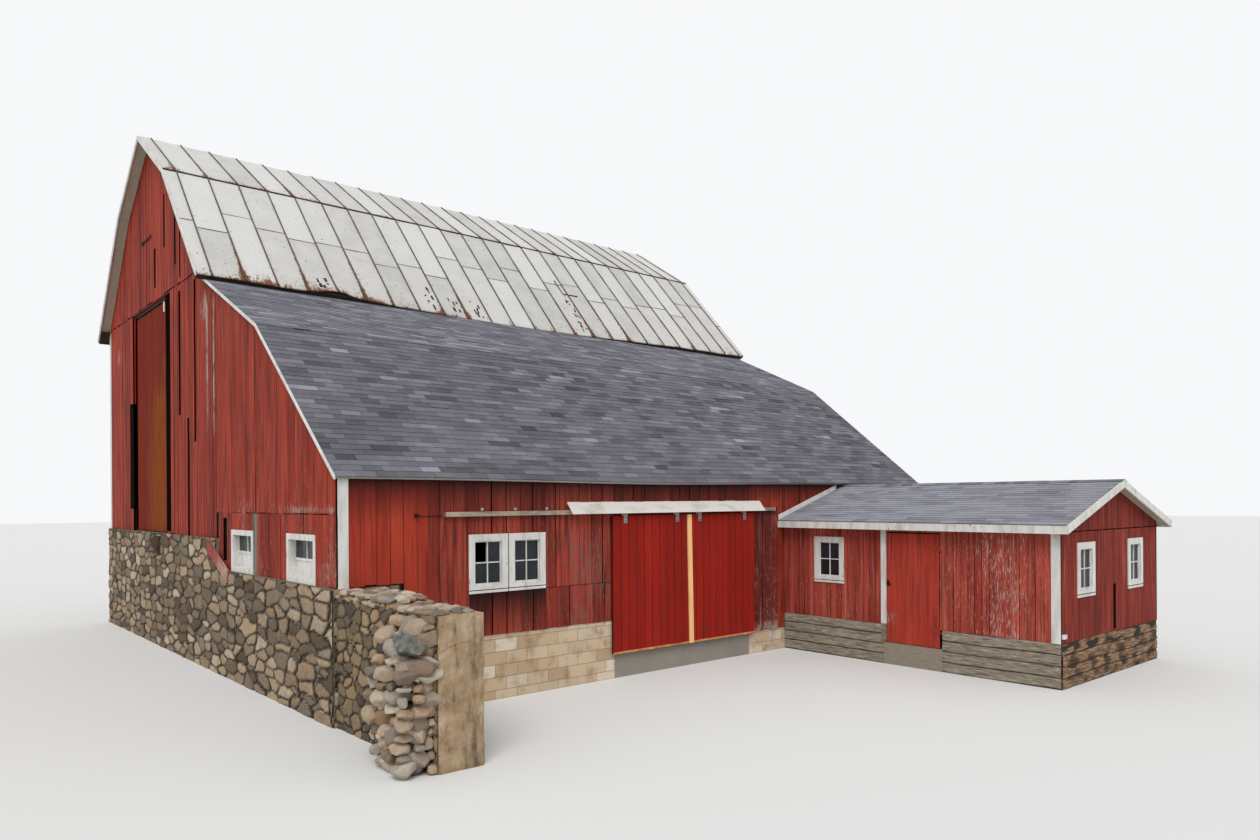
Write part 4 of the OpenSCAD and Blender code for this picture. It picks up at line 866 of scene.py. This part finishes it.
# Shingle roof: the long roof of the lean-to and its flatter upper part, laid in courses of
# asphalt shingles in mixed greys. The lowest courses follow an eave that has sagged.
def sloping(x, y, z, dx, dy, foot, head):
    """The face of a roof whose eave starts at x, y, z and runs along dx, dy, its outside on
    the right; foot and head are the distances in and the heights of its two edges."""
    pitch = math.atan2(head[1] - foot[1], head[0] - foot[0])
    c, s = math.cos(pitch), math.sin(pitch)

    def face(u, v, out):
        u, v, out = np.broadcast_arrays(u, v, out)
        inwards = foot[0] + v * c - out * s
        return np.stack([x + u * dx - inwards * dy, y + u * dy + inwards * dx,
                         z + foot[1] + v * s + out * c], -1)
    return face, math.hypot(head[0] - foot[0], head[1] - foot[1])


def eave_sag(u, v):
    """How far the lean-to's eave hangs down, less and less up the roof."""
    return 0.04 * bell(u, 6.0, 3.0) * np.clip(1 - v / 3.2, 0, 1) ** 2


def sagging(face, sag):
    """A roof face let down by a sag that is a function of u and v."""
    return lambda u, v, out: face(u, v, out) - (sag(u, v) + 0 * out)[..., None] * (0, 0, 1)


shingle_grey, t = material("asphalt_shingles", 0.9)
grit = noise(t, 0.006, detail=2)
base = ramp(t, attribute(t, "tone"), "35343a", "515057", "67666e", "75747d", "888791", "a5a5b0")
base = stained(t, base, "8f8e97", noise(t, 0.9, detail=3), 0.4, 0.7, 0.2)
colour(t, mix(t, spread(t, grit, 0.3, 0.7, 0.55, 0.0), base, "3a393e"))
bump(t, grit, 0.002)
course_v, tab_u, tab_gap = 0.127, 0.305, 0.004


def shingles(name, face, u0, u1, length, seed, lighter=0.0, vary=1.0):
    """Courses of tabs over a roof face, each tab a thin wedge that laps the course below."""
    rng = np.random.default_rng(seed)
    courses = []
    for row in range(math.ceil(length / course_v)):
        v = row * course_v
        shift = (row % 2) * tab_u / 2 + rng.uniform(0, 0.02)
        edges = np.clip(np.arange(u0 - shift, u1 + tab_u, tab_u), u0, u1)
        kept = np.diff(edges) > 0.03
        a, b = edges[:-1][kept], edges[1:][kept]
        strip = np.repeat(rng.normal(0.46, 0.15 * vary, len(a)), rng.integers(1, 3, len(a)))[:len(a)]
        low = v - 0.004 + rng.uniform(-0.003, 0.003, len(a)) - 0.012 * (row == 0)
        high = np.full(len(a), min(v + course_v + 0.02, length))
        tone = strip + rng.normal(0, 0.09 * vary, len(a)) + lighter
        courses.append(np.stack([a + tab_gap / 2, b - tab_gap / 2, low, high, tone]))
    left, right, low, high, tone = np.concatenate(courses, 1)
    lift = rng.uniform(0, 0.003, len(left)) + 0.01 * (rng.random(len(left)) < 0.006)
    front = np.stack([0.010 + lift, np.full(len(left), 0.003)], -1)
    piece(name, *slabs(face, left, right, low, high, -0.003, front), shingle_grey, "shingles",
          tone=np.repeat(np.clip(tone, 0, 1), 8))


def strips(ends, count, low, high):
    """The spans of one long strip, cut into so many that it can follow a sagging face."""
    edges = np.linspace(*ends, count + 1)
    return [(a, b, low, high) for a, b in zip(edges[:-1], edges[1:])]


lean_rake = 0.06
lean_ends = (-lean_rake, barn_side + lean_rake)
low_face, low_length = sloping(0, 0, 0, 1, 0, *shingle_line[:2])
low_face = sagging(low_face, eave_sag)
high_face, high_length = sloping(0, 0, 0, 1, 0, *shingle_line[1:])
shingles("lean_to_shingles", low_face, *lean_ends, low_length, 71)
shingles("lean_to_upper_shingles", high_face, *lean_ends, high_length, 72, lighter=0.2)
boxes("lean_to_drip_edge", low_face, strips(lean_ends, 48, -0.012, -0.006), -0.038, -0.002, bright_zinc,
      "iron")
wing_over, wing_reach = 0.205, wing_len + 0.185
slope = (0.0, wing_ridge - wing_rise), (wing_w / 2 + wing_over, wing_ridge)
near_face, wing_slope = sloping(wing_x - wing_over, 0, 0, 0, -1, *slope)
far_slope_face, _ = sloping(wing_x + wing_w + wing_over, -wing_reach, 0, 0, 1, *slope)
caps = np.arange(0.0, wing_reach, course_v)
for side, face, u, seed in (("near", near_face, caps, 73),
                            ("far", far_slope_face, wing_reach - caps - course_v, 74)):
    shingles(f"wing_{side}_shingles", face, 0.0, wing_reach, wing_slope, seed, lighter=0.47, vary=0.45)
    tone = np.random.default_rng(75).uniform(0.4, 0.9, len(caps))
    cap = slabs(face, u, u + course_v - 0.003, wing_slope - 0.14, wing_slope, 0.0, 0.016)
    piece(f"wing_{side}_ridge_caps", *cap, shingle_grey, "shingles", tone=np.repeat(tone, 8))

# The decks under the shingles: planks on the lean-to, which sag with it, on real rafters of
# sawn timber at four foot centres, and plain boards painted cream under the other eaves.
deck_wood = plain("roof_deck", 0.85, ("2c2622", "43392f", "5a4f43"), 0.03, (1, 12, 12), 6,
                  span=(0.3, 0.75))
plank, plank_gap, rafter_w = 0.2, 0.004, 0.06
rafter_u = 0.12 + 1.194 * np.arange(13)
deck = [span for v in np.arange(0, low_length, plank)
        for span in strips(lean_ends, 24, v, min(v + plank - plank_gap, low_length))]
boxes("lean_to_deck", low_face, deck, -0.04, 0.0, deck_wood, "shingles",
      stands_for=("shingle_roof_lower",))
boxes("lean_to_rafters", low_face, [(u, u + rafter_w, 0.19, low_length) for u in rafter_u], -0.18, -0.04,
      dark_wood, "frame_timber")
dress(deck_wood, "shingle_roof_upper")
cream = plain("cream_soffit", 0.7, ("b9af9c", "918877"), 0.1, (1, 6, 1), 5)
dress(cream, "wing_roof_near", "wing_roof_far", "steel_roof_front_upper", "steel_roof_back_upper",
      "steel_roof_back_lower")

# Steel roof: old pale sheets two feet wide over the main roof, with raised seams, rust along
# the seams and the foot, and odd patches. The front's lower slope sags between its ends with
# its deck and rafters, and its edge has curled up in one place.
steel, t = material("weathered_roof_steel", 0.6, specular=0.25)
cloud = noise(t, 0.5, detail=6)
fine = noise(t, 0.035, stretch=(1, 2.5, 2.5), detail=8, rough=0.68)
base = ramp(t, attribute(t, "tone"), "b1b0ac", "bcbab7", "c5c4c0", "cccbc8")
base = stained(t, base, "d3d2cf", cloud, 0.35, 0.7, 0.45)
rust = maths(t, "ADD", attribute(t, "rust"), spread(t, fine, 0.3, 0.7, -0.4, 0.4))
rust = maths(t, "ADD", rust, spread(t, cloud, 0.4, 0.7, -0.1, 0.1))
base = stained(t, base, "a38f7b", rust, 0.3, 0.6, 0.6)
base = mix(t, spread(t, rust, 0.5, 0.68), base, ramp(t, fine, "33221a", "6b4026", "a3653a"))
colour(t, stained(t, base, "3d342c", noise(t, 0.06, detail=3), 0.68, 0.71))
bump(t, cloud, 0.006)
seam_steel, t = material("roof_seams", 0.65)
crust = ramp(t, noise(t, 0.1, stretch=(1, 2, 2), detail=6), "2f2925", "5c524a", "8f867d")
colour(t, stained(t, crust, "5c3824", attribute(t, "rust"), 0.55, 0.85, 0.8))
sheet_u, rake, seam_half, first_seam = 0.61, 0.24, 0.011, 0.35
roof_ends = (-rake, barn_side + rake)


def sheets(name, face, length, seed, foot, joint_at):
    """Steel sheets side by side up a roof face from foot, as one buckled skin that turns down
    over the eave, with a rusty raised seam between them and cross joints near joint_at."""
    rng = np.random.default_rng(seed)
    edges = np.arange(-rake - first_seam, barn_side + rake + sheet_u, sheet_u)
    count = len(edges) - 1
    near = np.array([0, 0.014, 0.035, 0.07, 0.14])
    across = np.concatenate([near, [sheet_u / 2], sheet_u - near[1:]])
    u = np.unique(np.clip((edges[:, None] + across).ravel(), *roof_ends))
    column = np.clip(np.searchsorted(edges, u + 1e-6) - 1, 0, count - 1)
    rise = np.concatenate([[0, 0, 0.03, 0.08], np.linspace(0.14, length - foot, 56)])
    u, v = np.meshgrid(u, foot + rise, indexing="ij")
    v = v + 0.02 * ripple(u, 0 * v, 1.6, seed + 1) * np.exp(-(v - foot) / 0.2)
    up = v - foot
    seam_gap = np.abs((u - edges[0] + sheet_u / 2) % sheet_u - sheet_u / 2)
    joints = rng.uniform(-0.5, 0.5, count) + (joint_at or -9.0)
    over = v > joints[column][:, None]
    out = 0.009 + 0.005 * ripple(u, v, 0.8, seed) * np.minimum(seam_gap / 0.1, 1) + 0.003 * over
    out[:, 0] = -0.012
    streaky = rng.uniform(0, 1, count + 1)[np.rint((u - edges[0]) / sheet_u).astype(int)]
    patchy = 0.5 + 0.5 * ripple(u * 0.2, v, 0.7, seed + 2)
    rust = 0.05 + 0.42 * np.exp(-seam_gap / 0.022) * (0.3 + 0.7 * patchy)
    rust += 1.5 * streaky ** 2 * np.exp(-seam_gap / 0.05) * np.exp(-up / 0.9)
    rust += 0.4 * bell(u, 2.0, 1.8) * np.exp(-up / 0.6) * (0.6 + 0.6 * ripple(u * 3, v, 0.5, seed + 4))
    rust += 0.45 * np.exp(-up / 0.7) * np.clip(ripple(u * 5, 0.3 * v, 0.5, seed + 9), 0, 1)
    rust += 0.5 * np.exp(-up / 0.16) * (0.5 + 0.5 * ripple(u, 0 * v, 0.5, seed + 3))
    tone = rng.random((count, 2))[column[:, None], over.astype(int)]
    piece(name, face(u, v, out), grid_quads(*u.shape)[:, ::-1], steel, "roof_steel", smooth=True,
          tone=tone, rust=rust)
    seam = edges[(edges > 0.05 - rake) & (edges < barn_side + rake - 0.05)]
    v = np.linspace(foot, length, 25)[None] + 0 * seam[:, None]
    number = np.arange(len(seam))[:, None]
    high = 0.034 + 0.004 * ripple(number * 9.1, v, 0.5, seed + 5)
    patchy = 0.5 + 0.5 * ripple(number * 3.7, v, 0.8, seed + 6)
    worn = 0.42 + 0.4 * patchy + 0.1 * np.exp(-(v - foot) / 0.5)
    solids = [slabs(face, seam - seam_half, seam + seam_half, foot - 0.01, length, 0.0, high, 24)]
    rusts = [np.repeat(worn.ravel(), 4)]
    if joint_at:
        a, b = np.clip([edges[:-1] + seam_half, edges[1:] - seam_half], *roof_ends)
        solids.append(slabs(face, a, np.maximum(b, a + 0.01), joints - 0.009, joints + 0.005, 0.0, 0.017))
        rusts.append(np.repeat(rng.uniform(0.7, 0.95, count), 8))
    piece(name + "_seams", *gather(*solids), seam_steel, "roof_steel", rust=np.concatenate(rusts))


def steel_sag(u, v):
    """How far the front's lower slope hangs down between its ends, less and less up the roof."""
    return 0.11 * bell(u, 7.0, 4.0) * np.clip(1 - v / 3.3, 0, 1) ** 1.5


def curled(u, v):
    """The same, and where the wind has bent the foot of the sheets up."""
    return steel_sag(u, v) - 0.09 * bell(u, 2.45, 0.4) * np.exp(-(v + 0.05) / 0.3)


front_low, steel_low_len = sloping(0, 0, 0, 1, 0, *steel_line[:2])
front_flat, front_low = sagging(front_low, steel_sag), sagging(front_low, curled)
front_high, steel_high_len = sloping(0, 0, 0, 1, 0, *steel_line[1:3])
back_foot = [(y + barn_side - 2 * steel_line[2, 0], z) for y, z in steel_line[:3]]
back_low, _ = sloping(barn_side, barn_side, 0, -1, 0, *back_foot[:2])
back_high, _ = sloping(barn_side, barn_side, 0, -1, 0, *back_foot[1:])
slopes = {"front_lower": (front_low, steel_low_len, 81, -0.055, 1.8),
          "front_upper": (front_high, steel_high_len, 82, -0.03, None),
          "back_lower": (back_low, steel_low_len, 83, -0.055, 1.7),
          "back_upper": (back_high, steel_high_len, 84, -0.03, None)}
for name, (face, length, seed, foot, joint_at) in slopes.items():
    sheets(name + "_steel", face, length, seed, foot, joint_at)
rows = np.linspace(0, steel_low_len, 9)
deck = [span for low, high in zip(rows[:-1], rows[1:]) for span in strips(roof_ends, 24, low, high)]
boxes("front_steel_deck", front_flat, deck, -0.055, 0.0, cream, "roof_steel",
      stands_for=("steel_roof_front_lower",))
boxes("front_steel_rafters", front_flat,
      [(u, u + rafter_w, 0.25, steel_low_len - 0.1) for u in rafter_u], -0.2, -0.055, dark_wood,
      "frame_timber")
rusted = plain("rusted_through", 0.95, ("4a3326", "1a120e"), 0.05)
rng = np.random.default_rng(79)
scabs = [(9.00, 9.03, 1.60, 2.16), (9.02, 9.50, 1.58, 1.62)]
for u, v_end, count in ((2.2, 0.5, 7), (4.68, 0.75, 9), (5.28, 0.5, 7), (5.88, 0.6, 8), (8.98, 1.5, 16)):
    a, b = u + rng.uniform(-0.1, 0.1, count), rng.uniform(0.05, v_end, count)
    scabs += list(zip(a, a + rng.uniform(0.015, 0.05, count), b, b + rng.uniform(0.03, 0.14, count)))
boxes("steel_scabs", front_low, scabs, 0.0, 0.0185, rusted, "roof_steel")
ends = np.array([-rake - 0.014, barn_side + rake + 0.002])
edge_boards = [slabs(face, ends, ends + 0.012, 0.0, length, -0.085, 0.012)
               for face, length, *_ in slopes.values()]
piece("steel_roof_edge_boards", *gather(*edge_boards), white_paint, "white_trim")
# Painted shade: a dark board under each eave stands in for the shadow under the foot of the sheets, and the
# dark iron strip along each break is a flashing that also paints the shadow line under the upper sheets.
for side, face in (("front", front_flat), ("back", back_low)):
    boxes(side + "_break_strip", face, strips(roof_ends, 48, steel_low_len - 0.045, steel_low_len),
          0.0, 0.026, old_iron, "roof_steel")
    boxes(side + "_eave_shade_board", face, strips(roof_ends, 48, -0.034, 0.3), -0.13, 0.001, dark_wood,
          "roof_steel")


# Retaining wall: a stub of rubble wall that holds the bank beside the front. Its left side
# is dark rough stone set in mortar, flat stones cap it, and its end is cast in concrete.
def face_stones(tree, *tones):
    """Colours the stones of a wall by their tone, and the joints between them near black as
    painted shade in the gaps.
    """
    fine = noise(tree, 0.05, detail=8, rough=0.7)
    base = stained(tree, ramp(tree, attribute(tree, "tone"), *tones), "3d352d", fine, 0.3, 0.7, 0.4)
    colour(tree, mix(tree, attribute(tree, "joint"), base, "2b231c"))
    bump(tree, fine, 0.014)


rubble, t = material("retaining_rubble", 0.92)
face_stones(t, "50463b", "70624f", "957f61", "5c5246", "b09570", "7f6d58")
old_concrete, t = material("old_concrete", 0.92)
sand = noise(t, 0.01, detail=3)
cloud = noise(t, 0.35, detail=7, rough=0.65)
runs = maths(t, "ADD", noise(t, 0.07, stretch=(1, 1, 3), detail=8, rough=0.7), attribute(t, "wet"))
base = ramp(t, spread(t, cloud, 0.3, 0.7), "86725a", "a08768", "b39b7d", "c3b095")
base = stained(t, base, "4d4136", runs, 0.55, 0.85, 0.85)
colour(t, stained(t, base, "6b5a47", sand, 0.4, 0.75, 0.35))
bump(t, maths(t, "ADD", maths(t, "MULTIPLY", cloud, 0.8), maths(t, "MULTIPLY", sand, 0.2)), 0.03)
dress(old_concrete, "retaining_wall")
retain_x, retain_len, retain_top = 0.60, 2.80, 1.79
stonework("retaining_stones", gable_face, 0.0, retain_len, retain_top, rubble, wide=0.27, high=0.16,
          seed=91, step=0.022)
stonework("retaining_far_stones", upright(retain_x, -retain_len + 0.3, 0, 1), 0.0, retain_len - 0.3,
          retain_top, rubble, wide=0.34, high=0.2, seed=94, step=0.035)


def cast_end(u, v):
    """The concrete end: uneven, with its upper corners broken off and a crack below the left."""
    crack = np.abs(v - 1.36 - 0.28 * u - 0.03 * np.sin(9 * u)) / 0.012
    out = 0.018 + 0.010 * ripple(u, v, 0.5, 92) + 0.004 * ripple(u, v, 0.12, 93)
    out = out - 0.02 * np.clip(1 - crack, 0, 1) * (u < 0.4)
    edge = np.minimum(np.minimum(u, retain_x - u), retain_top - v) + 0.02 * ripple(u, v, 0.2, 89)
    broken = (u + (retain_top - v) < 0.16 + 0.03 * ripple(u, v, 0.1, 90)) * 0.05
    return out - 0.03 * np.clip(1 - edge / 0.05, 0, 1) ** 2 - broken


u, v = np.meshgrid(np.linspace(0, retain_x, 41), np.linspace(0, retain_top, 121), indexing="ij")
wet = (0.16 * bell(u, 0.21 + 0.02 * np.sin(6 * v), 0.03) * (v > 0.8) + 0.2 * bell(u, 0.45, 0.06)
       + 0.15 * np.exp(-v / 0.3) + 0.08 * ripple(u, v, 0.3, 88))
piece("retaining_end", upright(0, -retain_len, 1, 0)(u, v, cast_end(u, v)), grid_quads(*u.shape),
      old_concrete, "concrete", smooth=True, wet=wet)


# Fallen stones: round field boulders that have come away from the retaining wall and lie
# heaped against it, one of them large and green, and the flat stones left on the wall's top.
def boulders(name, places, sizes, turns, finish, seed, cuts=9, square=0.8, **more):
    """Field stones: a cube's grid blown up to a ball, cut flat on some sides, squashed, dented
    and turned, with no point below the ground."""
    n = 10
    a, b = np.meshgrid(np.linspace(-1, 1, n), np.linspace(-1, 1, n), indexing="ij")
    one = np.ones_like(a)
    sides = [(a, b, one), (b, a, -one), (one, a, b), (-one, b, a), (b, one, a), (a, -one, b)]
    cube = np.stack([np.stack(side, -1) for side in sides]).reshape(-1, 3)
    ball = cube / np.linalg.norm(cube, axis=1, keepdims=True) ** square
    quads = np.concatenate([grid_quads(n, n, k * n * n) for k in range(6)])
    rng = np.random.default_rng(seed)
    points, tone = [], rng.random(len(places))
    for i, (place, size, turn) in enumerate(zip(places, sizes, turns)):
        bulge = 1 + 0.1 * ripple(ball[:, 0] * 2 + 3 * i, ball[:, 1] * 2 + ball[:, 2] * 1.7, 2.2, seed + i)
        shape = ball * bulge[:, None]
        for _ in range(cuts):
            way = rng.normal(size=3)
            way /= np.linalg.norm(way)
            shape -= np.maximum(shape @ way - rng.uniform(0.6, 0.9), 0)[:, None] * way
        c, s = math.cos(turn), math.sin(turn)
        shape = (shape * size) @ np.array([[c, s, 0], [-s, c, 0], [0, 0, 1]]) + place
        shape[:, 2] = np.maximum(shape[:, 2], 0.002)
        points.append(shape)
    quads = (quads[None] + np.arange(len(places))[:, None, None] * len(ball)).reshape(-1, 4)
    piece(name, np.concatenate(points), quads, finish, "fieldstone", smooth=True,
          tone=np.repeat(tone, len(ball)), joint=0.0, **more)


loose_stone, t = material("loose_stones", 0.9)
face_stones(t, "8c7c69", "b09a80", "c3b09a", "77706a", "a3805f", "d0c2ae", "8f8a84")
green_stone = plain("green_boulder", 0.75, ("454540", "62625a", "86857c"), 0.12, detail=7, depth=0.01,
                    span=(0.3, 0.7))
rng = np.random.default_rng(95)
stones = []
heap_y, heap_len = -2.78, 0.95
green_y, green_z = -2.57, 1.46
for z in 0.07 + 0.132 * np.arange(13):
    reach = np.interp(z, (0.0, 1.275, 1.65, 1.72), (0.40, 0.34, 0.11, 0.02))
    for depth in np.arange(0.03, reach + 0.08, 0.16):
        for y in np.arange(heap_y + 0.12, heap_y + heap_len - 0.05, 0.21):
            if abs(y - green_y - 0.02) < 0.26 and abs(z - green_z - 0.03) < 0.16 and depth > 0.1:
                continue
            r = rng.choice([0.075, 0.11, 0.15])
            place = (-min(depth, reach) + rng.uniform(-0.03, 0.03), y + rng.uniform(-0.07, 0.07),
                     max(z + rng.uniform(-0.02, 0.02), r * 0.62))
            size = r * rng.uniform(0.8, 1.1), r * rng.uniform(0.9, 1.5), r * rng.uniform(0.55, 0.95)
            stones.append((place, size, rng.uniform(0, math.pi)))
boulders("fallen_stones_heap", *zip(*stones), loose_stone, 96, stands_for=("fallen_stones",))
boulders("green_boulder", [(-0.25, green_y, green_z)], [(0.17, 0.25, 0.13)], [0.15], green_stone, 97,
         cuts=5)
rng = np.random.default_rng(98)
stones = []
for layer, (y_end, z) in enumerate(((-2.62, 1.80), (-1.5, 1.87))):
    for y in np.arange(y_end, -0.05, 0.15):
        for x in (0.05, 0.2, 0.35, 0.5):
            if layer == 0 or x < 0.3 or y > -2.2:
                r = rng.uniform(0.06, 0.11)
                place = x + rng.uniform(-0.03, 0.03), y + rng.uniform(-0.04, 0.04), z
                size = r, r * rng.uniform(1.0, 1.5), rng.uniform(0.03, 0.055)
                stones.append((place, size, rng.uniform(-0.8, 0.8)))
boulders("cap_stones", *zip(*stones), loose_stone, 99)

# Small things of the gable: a siding board that has slipped off the corner and leans across
# the stones, a rotten log end in the wall under the wagon door, a stick in the wall above,
# and a white tag on the wagon door.
slipped_red = flaking("slipped_board_red", ("8c3a30", "9a4236", "a84c3d"), ("c9ad9b", "a08d80"), 0.6)
board_t, board_half = 0.025, 0.115
along = np.linspace(0, 1.30, 27)
rim = [(0.0, -board_half), (0.0, board_half), (board_t, board_half), (board_t, -board_half)]
c, s = math.cos(math.radians(22.5)), math.sin(math.radians(22.5))
points = np.array([[(-proud - out, 4.60 + a * c - b * s, 1.80 + a * s + b * c) for out, b in rim]
                   for a in along])
quads = np.concatenate([ring_quads(27, 4), [[3, 2, 1, 0], [104, 105, 106, 107]]])
piece("slipped_siding_board", points, quads, slipped_red, "red_boards", stands_for=("slipped_board",),
      tone=0.6, wear=np.repeat(0.5 + 0.4 * np.cos(along * 2.2), 4))
stump = plain("rotten_log", 0.95, ("1d140e", "3e2c1e", "6d4f35"), 0.05, (1, 1, 3), 6, 0.02)
boulders("rotten_log_end", [(-0.06, 9.62, 2.16), (-0.06, 9.40, 2.26)],
         [(0.09, 0.36, 0.20), (0.08, 0.22, 0.14)], [0.0, 0.1], stump, 101, cuts=3, square=0.35)
boxes("gable_stick", gable_face, [(-10.89, -10.13, 9.08, 9.11), (-10.93, -10.83, 9.04, 9.13)], 0.018,
      (0.05, 0.06), stump, "frame_timber")
boxes("wagon_door_tag", gable_face, [(-9.42, -9.33, 7.28, 7.50)], -0.050, -0.042, white_paint,
      "white_trim", "wagon_door")

# The floor and the light, which are not part of the barn: a pale level floor, a pale sky that
# only the camera, mirrors and glass see, and soft light from the left behind the camera.
ground = bpy.data.meshes.new("studio_floor")
ground.from_pydata([(-150, -150, 0), (150, -150, 0), (150, 150, 0), (-150, 150, 0)], [], [(0, 1, 2, 3)])
floor_colour, t = material("studio_floor", 0.9)
t.nodes["Principled BSDF"].inputs["Base Color"].default_value = tint("dcdcda")
ground.materials.append(floor_colour)
studio_floor = bpy.data.objects.new("studio_floor", ground)
bpy.context.scene.collection.objects.link(studio_floor)
sky = bpy.data.worlds.new("studio_sky")
bpy.context.scene.world = sky
sky.use_nodes = True
t = sky.node_tree
back = t.nodes["Background"]
back.inputs["Color"].default_value = (0.97, 0.985, 1.0, 1.0)
back.inputs["Strength"].default_value = 0.72
seen = node(t, "Background", (0.93, 0.94, 0.95, 1), 1.0)
path = node(t, "LightPath")
rays = maths(t, "ADD", path.outputs["Is Camera Ray"], path.outputs["Is Transmission Ray"])
rays = maths(t, "MINIMUM", maths(t, "ADD", rays, path.outputs["Is Glossy Ray"]), 1.0)
choice = node(t, "MixShader", rays, back.outputs[0], seen.outputs[0])
t.links.new(choice.outputs[0], t.nodes["World Output"].inputs["Surface"])
sun = bpy.data.lights.new("sun", "SUN")
sun.energy = 1.7
sun.angle = math.radians(35)
sun_stand = bpy.data.objects.new("sun", sun)
sun_stand.rotation_euler = (math.radians(42), 0, math.radians(-45))
bpy.context.scene.collection.objects.link(sun_stand)
bpy.context.scene.view_settings.view_transform = "Standard"
bpy.context.scene.render.resolution_x = 1260
bpy.context.scene.render.resolution_y = 840
